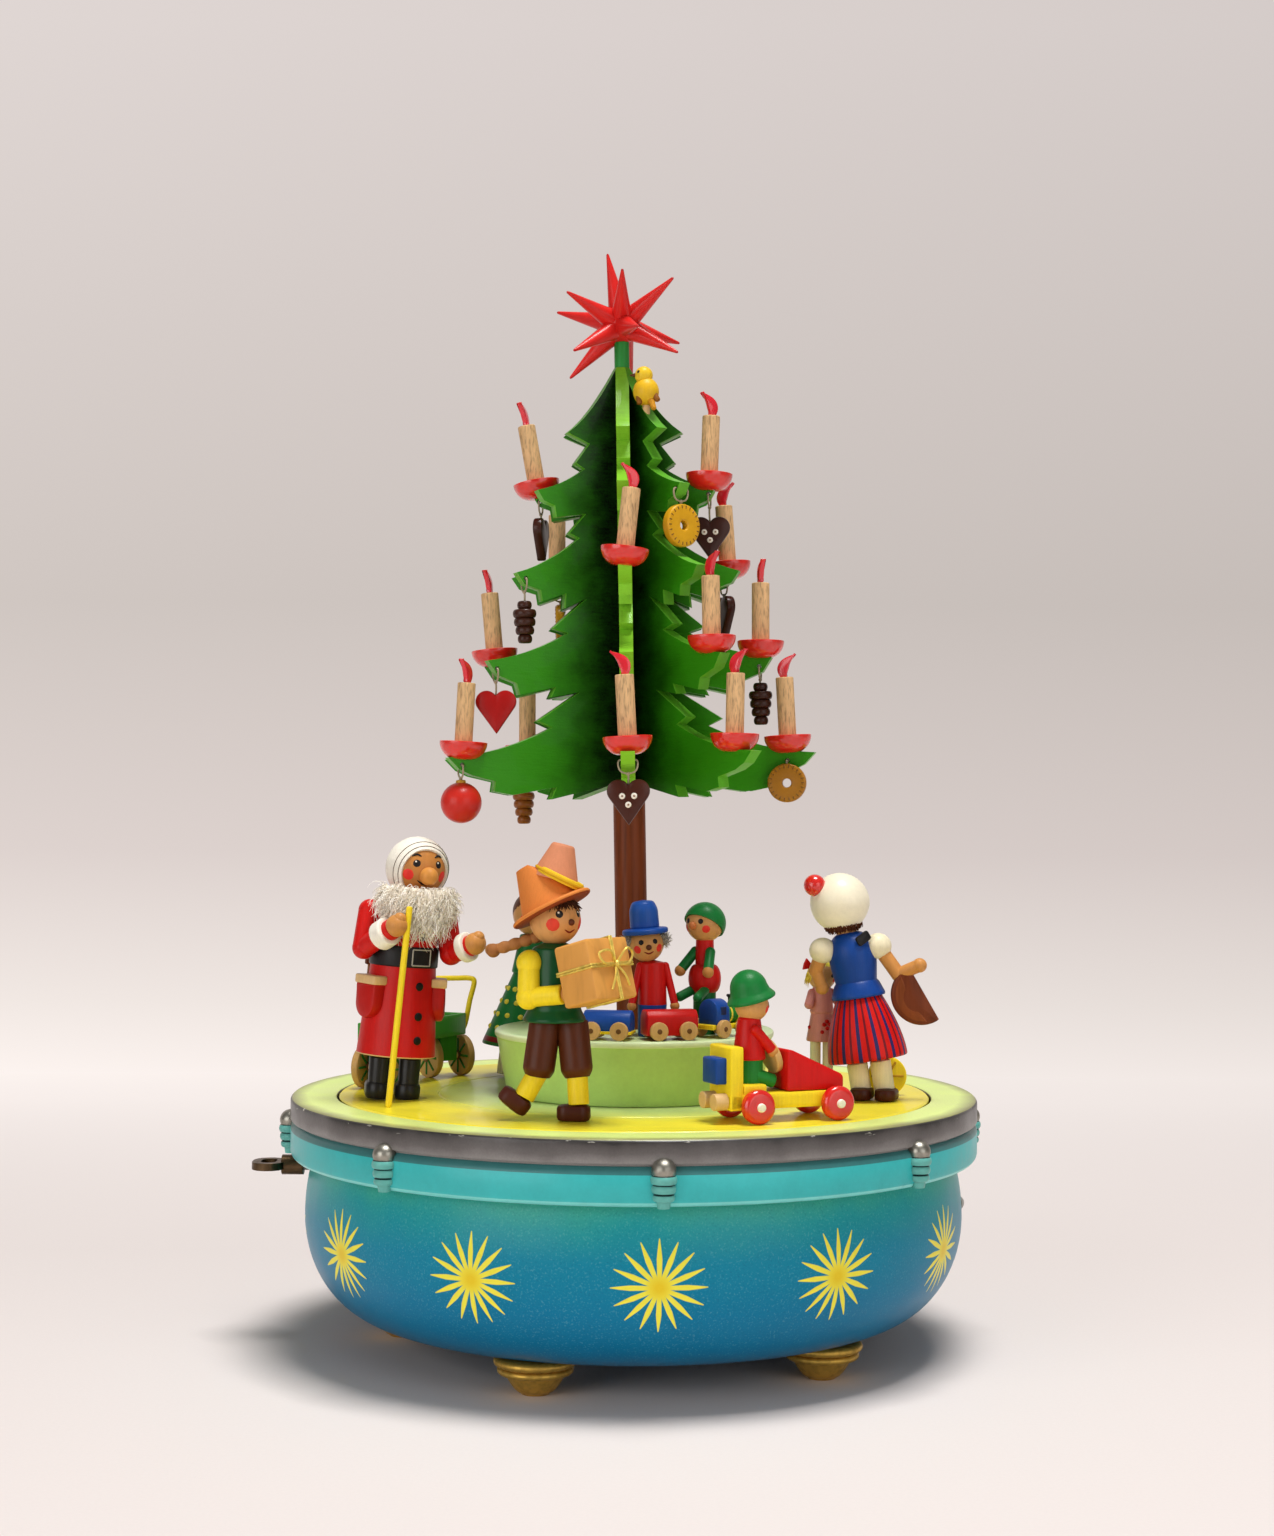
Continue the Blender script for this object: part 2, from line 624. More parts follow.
def rim_paint():
    """Grey sprayed on the edge, darkest under the top, that fades over the border onto the pale green top."""
    finish = Finish("rim_airbrush")
    x, y, z = finish.node("SeparateXYZ", inputs={0: finish.place()}, output=("X", "Y", "Z"))
    out = (x * x + y * y).power(0.5) * 1000.0
    mist = finish.noise((70.0, 70.0, 70.0), 3.0)
    spray = finish.noise((1600.0, 1600.0, 1600.0), 2.0)
    wear = finish.noise((260.0, 260.0, 900.0), 4.0)
    height = ((z * 1000.0 - 73.0) / 6.4 + (mist - 0.5) * 0.9).clamped()
    stops = [(0.0, "#85817e"), (0.4, "#625d5b"), (0.8, "#494442"), (1.0, "#2c2927")]
    grey = finish.node("ValToRGB", {"stops": stops}, {"Fac": height})
    fade = ((RIM_R - 0.4 - out + (mist - 0.5) * 3.0) / 5.0).clamped()
    flat = ((z * 1000.0 - 79.55) * 6.0).clamped()
    top = finish.mix(fade, rgba("#8d8c58"), rgba("#dbec88"))
    rubbed = ((wear - 0.66) * 14.0).clamped() * ((height - 0.86) * 9.0).clamped() * 0.7
    sides = finish.mix(rubbed, grey, rgba("#d9d5c6"))
    shade = 1.0 + (spray - 0.5) * 0.3 + (mist - 0.5) * 0.2
    finish.put(base_color=finish.shaded(finish.mix(flat, sides, top), shade))
    finish.put(roughness=0.4 + (mist - 0.5) * 0.3, coat_weight=0.12)
    finish.shader.inputs["Specular IOR Level"].default_value = 0.35
    finish.bump(spray + wear * 0.5, 0.05)
    return finish.material


def board_paint():
    """Green sprayed from the outside in: the faces stay nearly black by the pole, the sawn edges don't."""
    finish = Finish("board_green")
    x, y, z = finish.node("SeparateXYZ", inputs={0: finish.place()}, output=("X", "Y", "Z"))
    lean = math.tan(math.radians(TREE_LEAN))
    x = x + (z - PLATE_Z / 1000) * lean
    out = (x * x + y * y).power(0.5) * 1000.0
    mist = finish.noise((150.0, 150.0, 150.0), 3.0)
    grain = finish.noise((260.0, 260.0, 1600.0), 4.0)
    spray = finish.noise((1900.0, 1900.0, 1900.0), 2.0)
    paint = finish.paint()
    _, green, _ = finish.node("SeparateColor", inputs={0: paint}, output=("Red", "Green", "Blue"))
    edge = ((green - 0.34) * 12.0).clamped()
    near = ((out + (mist - 0.5) * 9.0 - 4.5) / 29.0).clamped()
    near = near * near * (3.0 - near * 2.0)
    near = near + (1.0 - near) * edge * 0.7
    shade = 0.07 + near * 0.93 + (grain - 0.5) * 0.2 + (spray - 0.5) * 0.2 + (mist - 0.5) * 0.2
    finish.put(base_color=finish.shaded(paint, shade.clamped()))
    finish.shader.inputs["Specular IOR Level"].default_value = 0.14
    finish.put(roughness=0.42 + (grain - 0.5) * 0.25 + (mist - 0.5) * 0.2, coat_weight=0.05)
    finish.bump(grain + spray * 0.5, 0.07)
    return finish.material


def wool_finish():
    """Off-white wool, darker in its depths."""
    finish = Finish("beard_wool")
    clumps = finish.noise((420.0, 420.0, 420.0), 3.0)
    fibres = finish.noise((3500.0, 3500.0, 900.0), 3.0)
    shade = 1.02 + (clumps - 0.5) * 0.3 + (fibres - 0.5) * 0.2
    finish.put(base_color=finish.shaded(finish.paint(), shade), roughness=0.85 + (clumps - 0.5) * 0.1)
    finish.shader.inputs["Sheen Weight"].default_value = 0.3
    finish.bump(fibres, 0.2)
    return finish.material


PAINT = painted_wood("brushed_paint")
SATIN = painted_wood("satin_paint", 0.34, 0.16, 0.12, 0.03, (700.0, 700.0, 700.0), 0.08)
WOOD = bare_wood("varnished_wood")
FACE = bare_wood("face_wood", (600.0, 600.0, 140.0), 0.35, 0.42)
STICK = bare_wood("candle_wood", (1900.0, 1900.0, 340.0), 1.0, 0.6, 0.5)
CRATE = bare_wood("parcel_wood", (420.0, 420.0, 60.0), 0.3, 0.6)
LACQUER = lacquer("gloss_lacquer")
MATT = painted_wood("flat_paint", 0.62, 0.0, 0.18, 0.06)
METAL = metal("worn_metal")
GILT = metal("dull_gilding", 0.42, 0.5, 0.75)
WOOL = wool_finish()
BOWL = bowl_paint()
PLATE = plate_paint()
BOARD = board_paint()
RIM = rim_paint()


# Pieces

def dress(obj, material, body, nodes):
    """Gives a piece its material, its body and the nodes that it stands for."""
    obj.data.materials.clear()
    obj.data.materials.append(material)
    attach(obj, body)
    if nodes:
        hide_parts(*nodes)


def paint_faces(mesh, colours):
    """Stores one colour for each face, on its corners, in the attribute that the finishes read."""
    totals = np.zeros(len(mesh.polygons), int)
    mesh.polygons.foreach_get("loop_total", totals)
    paint = mesh.color_attributes.new("paint", "FLOAT_COLOR", "CORNER")
    values = np.column_stack([np.repeat(colours, totals, axis=0), np.ones(totals.sum())])
    paint.data.foreach_set("color", values.ravel())
    mesh.polygons.foreach_set("use_smooth", np.ones(len(mesh.polygons), bool))
    mesh.set_sharp_from_angle(angle=math.radians(38))


def piece(name, shape, material, body, *nodes, slot=None, lengths=None):
    """Puts a shape into a mesh, in metres, and rides it on a body in place of the nodes named."""
    mesh = bpy.data.meshes.new(name)
    corners = np.concatenate([f.ravel() for f in shape.faces])
    totals = np.concatenate([np.full(len(f), f.shape[1]) for f in shape.faces])
    mesh.vertices.add(len(shape.points))
    mesh.vertices.foreach_set("co", (shape.points / 1000).ravel())
    mesh.loops.add(len(corners))
    mesh.loops.foreach_set("vertex_index", corners)
    mesh.polygons.add(len(totals))
    mesh.polygons.foreach_set("loop_start", np.cumsum(totals) - totals)
    mesh.update(calc_edges=True)
    if lengths is not None:
        mesh.attributes.new("length", "FLOAT", "POINT").data.foreach_set("value", lengths)
    paint_faces(mesh, np.concatenate(shape.tints))
    obj = bpy.data.objects.new(name, mesh)
    bpy.context.scene.collection.objects.link(obj)
    dress(obj, material, body, nodes)
    return obj


def carried(name, node, material, body, rule, bevel=0.3):
    """A merged copy of a node with eased edges. The rule gives a face's colour from its centre and normal."""
    mesh = bpy.data.meshes.new(name)
    whole = bmesh.new()
    whole.from_mesh(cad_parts[node].data)
    bmesh.ops.remove_doubles(whole, verts=whole.verts, dist=2e-6)
    bmesh.ops.dissolve_limit(whole, angle_limit=math.radians(0.6), verts=whole.verts, edges=whole.edges)
    whole.to_mesh(mesh)
    whole.free()
    centres = np.array([p.center for p in mesh.polygons]) * 1000
    normals = np.array([p.normal for p in mesh.polygons])
    paint_faces(mesh, rule(centres, normals))
    obj = bpy.data.objects.new(name, mesh)
    bpy.context.scene.collection.objects.link(obj)
    if bevel:
        ease = obj.modifiers.new("eased_edges", "BEVEL")
        ease.width = bevel / 1000
        ease.segments = 2
        ease.limit_method = "ANGLE"
        ease.angle_limit = math.radians(40)
        ease.use_clamp_overlap = True
    dress(obj, material, body, (node,))
    return obj


def finish_node(node, material, text):
    """Gives a node that is shown as it is a finish, painted one colour through a copy of the material."""
    own = material.copy()
    own.name = material.name + "_" + node
    for item in [n for n in own.node_tree.nodes if n.type == "ATTRIBUTE"]:
        targets = [link.to_socket for link in own.node_tree.links if link.from_node == item]
        for socket in targets:
            socket.default_value = rgba(text)
        own.node_tree.nodes.remove(item)
    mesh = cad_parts[node].data
    mesh.materials.clear()
    mesh.materials.append(own)


# Base

def build_base():
    """Turned profiles. The bowl stores each point's length along its wall from the stars' middle height."""
    outer = np.concatenate([quarter((80, FOOT_H), (BOWL_R, BELLY_Z), 40),
                            arc((41.2, BELLY_Z), 64, 0, 16.34, 14)[1:]])
    inner = quarter((73, 18), (98.2, BELLY_Z), 24)[::-1]
    wall = np.concatenate([outer, [(93, MOUTH_Z)], inner])
    steps = np.concatenate([[0], np.cumsum(np.linalg.norm(np.diff(wall, axis=0), axis=1))])
    middle = np.interp(38, outer[:, 1], steps[:len(outer)])
    sides = 160
    bowl = turned(np.concatenate([[(0, FOOT_H)], wall, [(0, 18)]]), sides)
    reach = np.concatenate([np.repeat(steps - middle, sides), [-80, 200]])
    piece("painted_bowl", bowl, BOWL, "base", "bowl", lengths=reach)

    taper = np.column_stack([np.linspace(4.6, 8.9, 10), 0.5 + 5.2 * np.linspace(0, 1, 10) ** 1.6])
    foot = np.concatenate([[(0, 0), (4.2, 0)], taper, bead(11.3, 1.5, 5.8, 8.2), bead(12.4, 1.6, 8.3, 11),
                           [(0, 11)]])
    feet = [turned(foot, 48, tint="#c8a046").at(on_bearing(-22.3 + 72 * i, 75, 0)) for i in range(5)]
    piece("gilded_feet", joined(feet), GILT, "base", "feet")

    low, top = HOOP_Z
    ring = np.concatenate([[(97.6, low), (107.4, low)], arc((107.4, low + 2.6), 2.6, -80, -8, 8),
                           [(RIM_R, top - 2.2), (RIM_R - 0.5, top - 0.9), (RIM_R - 1.6, top), (97.6, top)]])
    hoop = turned(ring, 160, tint="#3ab3b3")
    hoop = hoop.tint_where(lambda p: (p[:, 2] > top - 1.6) & (np.hypot(p[:, 0], p[:, 1]) > 105), "#3b7575")
    hoop = hoop.tint_where(lambda p: (p[:, 2] < low + 1.3) & (np.hypot(p[:, 0], p[:, 1]) > 107.6), "#7ad3cc")
    piece("turquoise_hoop", hoop, SATIN, "base", "hoop")

    beads = np.concatenate([[(0, low), (1.75, low), (2.05, low + 1.9)], bead(3.15, 0.8, 62.9, 65.1),
                            bead(3.45, 0.8, 65.1, 67.6), bead(3.75, 0.8, 67.6, 70.2),
                            [(2.2, 70.6), (0, 70.6)]])
    places = [on_bearing(4.4 + 45 * i, RIM_R + 0.1, 0) for i in range(8)]
    spindle = turned(beads, 28, tint="#63aea4")
    for z in (62.7, 65.1, 67.6, 70.3):
        spindle = spindle.tint_where(lambda p, z=z: np.abs(p[:, 2] - z) < 0.3, "#254443")
    piece("lug_spindles", joined([spindle.at(m) for m in places]), SATIN, "base", "lugs")
    heads = [ball((0, 0, 71.6), 3.5, "#9d998e", (1, 1, 0.95), 18, 28).at(m) for m in places]
    piece("lug_heads", joined(heads), METAL, "base", slot="cast_metal")

    edge = [(95.3, 72.3), (RIM_R - 1.4, 72.3), (RIM_R - 1.4, 73), (RIM_R, 73.1), (RIM_R, 79.2),
            (RIM_R - 0.8, 80), (95.9, 80), (95.3, 79.4)]
    piece("rim_ring", turned(soften(edge, 0.35, True, 4), 160), RIM, "base", "rim")

    disc = [(0, 70.55), (9, 70.55), (9, 72), (PLATE_R, 72), (PLATE_R, 79.5), (PLATE_R - 0.5, PLATE_Z),
            (63.5, PLATE_Z), (63.1, 79.5), (62.6, PLATE_Z), (0, PLATE_Z)]
    piece("yellow_turntable", turned(disc, 160), PLATE, "turntable", "turntable")

    drum = soften([(0, 80.06), (41, 80.06), (44.3, 97), (44.5, 98.2), (45.1, 98.7), (45.1, 100),
                   (44.5, PEDESTAL_Z), (0, PEDESTAL_Z)], 0.5)
    pedestal = turned(drum, 128, tint="#b9db7c")
    pedestal = pedestal.tint_where(lambda p: p[:, 2] > 98.4, "#dbeab8")
    pedestal = pedestal.tint_where(lambda p: p[:, 2] > 100.3, "#cfe5a8")
    piece("green_pedestal", pedestal, SATIN, "turntable", "pedestal")

    bronze = colour("#5d4a35")
    carried("bronze_key", "winding_key", METAL, "key", lambda c, n: np.tile(bronze, (len(c), 1)), 0.7)

    for node, text in (("spindle_bush", "#c9a84c"), ("bedplate", "#b9b4a6"), ("comb", "#8f9499"),
                       ("movement_screws", "#8a8680"), ("winding_arbor", "#9a9a98"),
                       ("spring_barrel", "#c2a04a"), ("pinned_cylinder", "#c9a84c"),
                       ("governor", "#c9a84c"), ("stop_wire", "#a9a8a4"), ("spindle", "#9a9a98")):
        finish_node(node, METAL, text)
    finish_node("spindle_bridge", WOOD, "#c9a26a")


# Tree

WINGS = (-140, -100, -70, 0, 40, 80, 110, 180)
BOARD_HALF = 2.15
# Each candle's bearing, distance from the axis, height, lean to the right and turn of its flame
CANDLES = ((-70, 55.5, 112.4, 4, 60), (-140, 54, 112.6, 1, 65), (0, 53, 112.2, -2, 0),
           (40, 51.2, 112.9, 2, 140), (80, 52, 113, -2, 165), (180, 53, 112.6, 1, 20),
           (-100, 44, 143.2, -4, 78), (40, 41.4, 143.8, 0, 125), (80, 43.8, 143.6, 1, 100),
           (180, 42, 143.4, 1, 150), (0, 35, 171.3, 7, 15), (110, 36, 171.2, -3, 160),
           (-140, 36, 171, 1, 50), (-100, 29, 197.8, -9, 75), (80, 28, 198.2, 3, 30))
# Each cone's bearing and elevation
STAR_CONES = ((-90, 80), (2, 36), (-50, 20), (58, 33), (59, -28), (-46, -27), (13, -12), (153, 33),
              (126, -8), (171, -32), (-97, -44), (-113, 16))


def board_colours(centres, normals):
    """Sawn edges are paler, the front wing's most. A face is an edge unless it is square to a wing."""
    inverse = np.linalg.inv(TREE)
    points = centres @ inverse[:3, :3].T + inverse[:3, 3]
    facing = normals @ inverse[:3, :3].T
    flat = np.zeros(len(centres), bool)
    for bearing in WINGS:
        across = np.array([math.cos(math.radians(bearing)), math.sin(math.radians(bearing)), 0])
        near = np.abs(np.abs(points @ across) - BOARD_HALF) < 0.12
        flat |= near & (np.abs(facing @ across) > 0.9)
    front = (np.abs(points[:, 0]) < 2.3) & (points[:, 1] < -3)
    edges = np.where(front[:, None], colour("#86c92f"), colour("#5fae28"))
    return np.where(flat[:, None], colour("#338a0c"), edges)


def flame():
    """A leaf that bends to the left: a parabola for its spine, a half width that swells low, then thins."""
    t = np.linspace(0, 1, 22)
    spine = np.column_stack([0.9 * np.sin(np.pi * t) - 4.0 * t ** 2.2, 7.4 * t])
    half = 1.05 * (1 - t) ** 0.8 + 1.15 * np.sin(np.pi * t) ** 1.2
    along_x = np.gradient(spine, axis=0)
    normal = np.column_stack([along_x[:, 1], -along_x[:, 0]]) / np.linalg.norm(along_x, axis=1)[:, None]
    half[-1] = 0.06
    outline = np.concatenate([spine + normal * half[:, None], (spine - normal * half[:, None])[::-1]])
    return slab(outline, 1.7, 0.4, 0.1, "#dd2030", (0.1, 3.0))


def build_tree():
    """Turned post, pole, cups and star cones, each carried to its place on the leaning tree."""
    post = turned([(0, 80.1), (5.2, 80.1), (5.2, 180.4), (4.6, 181), (0, 181)], 40, 0.3, "#6d3110")
    piece("trunk_post", post.at(TREE), WOOD, "turntable", "trunk")
    pole = turned([(0, 180.5), (2.45, 180.5), (2.45, 323.4), (0, 324)], 28, 0.2, "#2b8a3a")
    piece("green_pole", pole.at(TREE), PAINT, "turntable", slot="green_paint")
    carried("sawn_boards", "tree_boards", BOARD, "turntable", board_colours, 0.35)

    tip = [(0, 2), (3.6, 2.4), (3.5, 3.6), (3.3, 5), (0.42, 23.7), (0, 24)]
    cone = turned(soften(np.array(tip), 0.4), 28, tint="#d3241f")
    cone = cone.tint_where(lambda p: p[:, 2] > 15, "#b81d1c")
    centre = (0, 0, 329)
    cones = [cone.at(along(centre, np.add(centre, direction(b, e)))) for b, e in STAR_CONES]
    star = joined(ball(centre, 6, "#cb231f", (1, 1, 1), 28, 44), cones)
    piece("red_star", star.at(TREE), SATIN, "turntable", "star_finial")

    stick = turned([(0, -0.2), (2.85, -0.2), (2.85, 20), (0, 20)], 28, 0.4, "#cfa878")
    saucer = np.concatenate([[(0, -4.4)], quarter((2.2, -4.4), (7.6, 1.2), 14),
                             [(7.35, 1.35), (6.9, 1.1), (5.2, 0.2), (4.2, 0.0), (0, 0)]])
    cup = turned(saucer, 36, tint="#dd241a")
    places = [TREE @ on_bearing(b, r, PLATE_Z + z) @ spin("z", -b) @ spin("y", lean)
              for b, r, z, lean, _ in CANDLES]
    piece("candle_posts", joined([stick.at(m) for m in places]), STICK, "turntable", "candle_sticks")
    cups = [cup.at(m) for m in places]
    flames = [flame().at(m @ shift(0, 0, 19.9) @ spin("z", row[4])) for m, row in zip(places, CANDLES)]
    piece("candle_cups", joined(cups + flames), LACQUER, "turntable", "candle_trim")

    perch = TREE @ spin("z", 40) @ shift(-0.8, -12.8, 305.4)
    bird = joined(ball((0, 0, 0), 4.2, "#e0b21f", (1, 1, 1.1)), ball((-0.4, 0.5, 5.3), 2.9, "#e6bf2a"),
                  rod((0, 0, 0), (0, 0, -8), 1.2, tint=PALE_WOOD),
                  rod((0, -1, -1), (-0.4, -4.4, -6.2), 1.5, 0.8, tint="#c98a1c"),
                  rod((0.6, -1, 1), (1.2, -4.6, -3.4), 1.6, 0.8, tint="#8a5417"),
                  rod((-2, 1, 1), (-3.4, -0.6, -4.4), 1.6, 0.8, tint="#8a5417"),
                  rod((-2.4, 2.2, 5.4), (-3.9, 3.4, 5.4), 0.8, 0.15, 0.1, tint="#5a3315"),
                  spot((-0.4, 0.5, 5.3), 2.9, -80, 18, 0.55), spot((-0.4, 0.5, 5.3), 2.9, -170, 18, 0.55))
    piece("yellow_bird", bird.at(perch), PAINT, "turntable", "bird")


# Ornaments

def heart(text):
    """Two round lobes drawn down to a point, as a slab with crowned faces."""
    lobe = arc((2.99, 0), 3.51, -35, 148.4, 22)
    mirror = (lobe * (-1, 1))[::-1]
    side = np.linspace((0.35, -9.8), (5.6, -2.4), 8)
    outline = np.concatenate([side, lobe, mirror[1:], (side * (-1, 1))[::-1], [(0, -10.2)]])
    return slab(outline + (0, -3.11), 3, 0.55, 0.25, text, (0, -5.2))


def donut(r, text):
    """A ring with eased edges that hangs from its top, with short baked marks near its outside."""
    ring = turned(soften([(1.4, -1.5), (r, -1.5), (r, 1.5), (1.4, 1.5)], 0.8, True, 5), 44, tint=text)
    marks = []
    for k in range(22):
        step = spin("z", 360 / 22 * k)
        for z in (-1.5, 1.5):
            mark = rod((r - 1.5, 0, z), (r - 0.45, 0, z * 0.96), 0.2, sides=8, tint="#7d5518")
            marks.append(mark.at(step))
    return joined(ring, marks).at(shift(0, 0, -r) @ spin("x", 90))


def beaded_cone(text):
    """A stack of turned beads that narrows downwards."""
    rows = (0.62, 1, 0.92, 0.8, 0.62)
    h = 13.5 / len(rows)
    beads = [bead(3.8 * rows[k], 0.8, -(k + 1) * h, -k * h, 9) for k in range(len(rows) - 1, -1, -1)]
    return turned(np.concatenate([[(0, -13.5)], *beads, [(0, 0)]]), 32, tint=text)


def thread(drop):
    """A loop through the board's hole that gathers to one strand and a small knot."""
    loop = smooth([(0, 0, -4.2), (-2.0, 0, -3.6), (-2.9, 0, -2), (-2.75, 0, -0.3), (-1.6, 0, 0.1),
                   (0, 0, 0.12), (1.6, 0, 0.1), (2.75, 0, -0.3), (2.9, 0, -2), (2.0, 0, -3.6),
                   (0, 0, -4.2)], 6)
    strand = smooth([(0, 0, -4), (0.1, 0.1, -0.5 * (4 + drop)), (0, 0, -drop - 1.2)], 5)
    tubes = [tube(loop, 0.3, 7, side=(0, 1, 0)), tube(strand, 0.32, 7),
             ball((0, 0, -4.2), 0.6, rows=10, cols=14)]
    return joined(tubes).tint("#a39478")


def side_thread(side, drop):
    """A knotted bar through the board and a strand down one side of it."""
    bar = rod((side * 1.02, 0, 0), (-side * 0.75, 0, 0), 0.33, tint="#a39478")
    knot = ball((-side * 0.75, 0, 0), 0.85, "#a39478", rows=10, cols=14)
    return joined(bar, knot, rod((side, 0, 0.2), (side, 0, -drop - 2), 0.33, tint="#a39478"))


def build_ornaments():
    """Each ornament hangs its drop below the hole in its board, turned, or beside the board."""
    bauble = ball((0, 0, -6.5), 6.5, "#c92a1f", (1, 1, 1), 28, 44)
    cap = turned([(0, -0.9), (1.7, -0.6), (1.5, 0.6), (0, 0.9)], 20, 0.2, AMBER)
    dots = []
    for x, z in ((-1.9, -4.6), (1.7, -4.6), (-0.1, -7.2)):
        dots += [button(WHITE, 1.0).at(shift(x, -1.5, z)), button("#8d6a52", 0.34).at(shift(x, -1.78, z))]
    hung = (
        ("ball", -70, 56.5, 106.3, 5.4, 0, 0, joined(bauble, cap), SATIN),
        ("red_heart", -70, 44.5, 136.8, 7.3, 70, 0, heart("#a60f0c"), SATIN),
        ("left_cone", -70, 34.5, 165.7, 7.1, 0, 0, beaded_cone("#3b1c10"), SATIN),
        ("left_heart", -100, 27.8, 192.5, 6, 0, 0, heart("#3d1b10"), SATIN),
        ("brown_cone", -140, 56.5, 106.3, 5.7, 0, 0, beaded_cone("#8e4f1c"), SATIN),
        ("ring", -140, 34.5, 165.7, 5, 50, 0, donut(6.2, "#c9921c"), SATIN),
        ("dotted_heart", 0, 56.5, 106.3, 6.3, 0, 0, joined(heart("#451d10"), dots), SATIN),
        ("upper_donut", 40, 28, 192.6, 5, 0, 0, donut(6.82, "#d8a01c"), SATIN),
        ("dark_heart", 80, 28, 192.7, 7.7, -80, 0, joined(heart("#3a1a10"), dots), SATIN),
        ("edge_disc", 110, 34.5, 165.7, 5, 0, 0, heart("#3d1b10"), SATIN),
        ("right_cone", 80, 43.5, 136.6, 5.2, 0, 0, beaded_cone("#34180d"), SATIN),
        ("lower_donut", 80, 52, 106.2, 1, 90, -1, donut(6.2, "#a8701a"), SATIN),
    )
    for name, bearing, r, z, drop, turn, beside, shape, material in hung:
        side = beside * (BOARD_HALF + 2.0)
        place = TREE @ on_bearing(bearing, r, PLATE_Z + z)
        cord = side_thread(side, drop) if beside else thread(drop)
        whole = joined(shape.at(shift(side, 0, -drop) @ spin("z", turn)), cord)
        piece("hung_" + name, whole.at(place), material, "ornament_" + name, "ornament_" + name)


# Figures

def dome(r, top, low, flat=4.0, rise=6.0):
    """The profile of a body from its waist height up over rounded shoulders to the axis."""
    t = np.linspace(0, np.pi / 2, 12)
    shoulder = np.column_stack([flat + (r - flat) * np.cos(t), top - rise + rise * np.sin(t)])
    return np.concatenate([[(0, low), (r, low)], shoulder, [(0, top)]])


def button(text, r=1.35):
    """A low crowned disc that faces -Y."""
    disc = turned([(0, -0.6), (r, -0.6), (r, 0.15), (r * 0.7, 0.45), (0, 0.55)], 20, 0.15, text)
    return disc.at(spin("x", 90))


def sleeve_arm(points, r, cuff_r, hand_r, sleeve, cuff, hand, fore=0.9):
    """An upper arm and forearm of rods with balls at the joints, a cuff round the wrist and a ball hand."""
    shoulder, elbow, wrist = (np.array(p, float) for p in points)
    reach = wrist - elbow
    parts = [limb([shoulder, elbow], r, sleeve), ball(wrist, hand_r, hand),
             rod(elbow, elbow + reach * fore, r * 0.92, tint=sleeve)]
    if cuff:
        parts.append(rod(elbow + reach * 0.5, elbow + reach * 0.78, cuff_r, soft=0.7, tint=cuff))
    return joined(parts)


def hairs(roots, aims, length, r, curl, steps=6, sides=3, droop=0.0):
    """Strands that leave their roots along their aims and curl: each path is a sum of a line and a helix.

    All strands are worked out as one array of rings and share no points."""
    count = len(roots)
    aims = aims / np.linalg.norm(aims, axis=1)[:, None]
    t = np.linspace(0, 1, steps)[None, :, None]
    across = np.cross(aims, rng.normal(size=(count, 3)))
    across /= np.linalg.norm(across, axis=1)[:, None]
    other = np.cross(aims, across)
    phase = rng.uniform(0, 2 * np.pi, (count, 1, 1))
    long = length * rng.uniform(0.6, 1.25, (count, 1, 1))
    swirl = np.cos(phase + t * curl) - np.cos(phase), np.sin(phase + t * curl) - np.sin(phase)
    sideways = swirl[0] * across[:, None] + swirl[1] * other[:, None]
    path = roots[:, None] + aims[:, None] * t * long + 0.22 * long * sideways
    path[..., 2] -= droop * (t[..., 0] ** 2) * long[..., 0]
    thick = r * (1 - 0.75 * t[..., 0]) * np.ones((count, 1))
    a = np.linspace(0, 2 * np.pi, sides, endpoint=False)
    ring = np.cos(a)[:, None] * across[:, None, None] + np.sin(a)[:, None] * other[:, None, None]
    points = path[:, :, None] + thick[:, :, None, None] * ring
    i = np.arange(count * steps * sides).reshape(count, steps, sides)
    j = np.roll(i, -1, axis=2)
    quads = np.stack([i[:, :-1], j[:, :-1], j[:, 1:], i[:, 1:]], -1).reshape(-1, 4)
    caps = np.concatenate([i[:, 0, ::-1], i[:, -1]]).reshape(-1, sides)
    return Shape(points.reshape(-1, 3), [quads, caps])


# Old man with staff

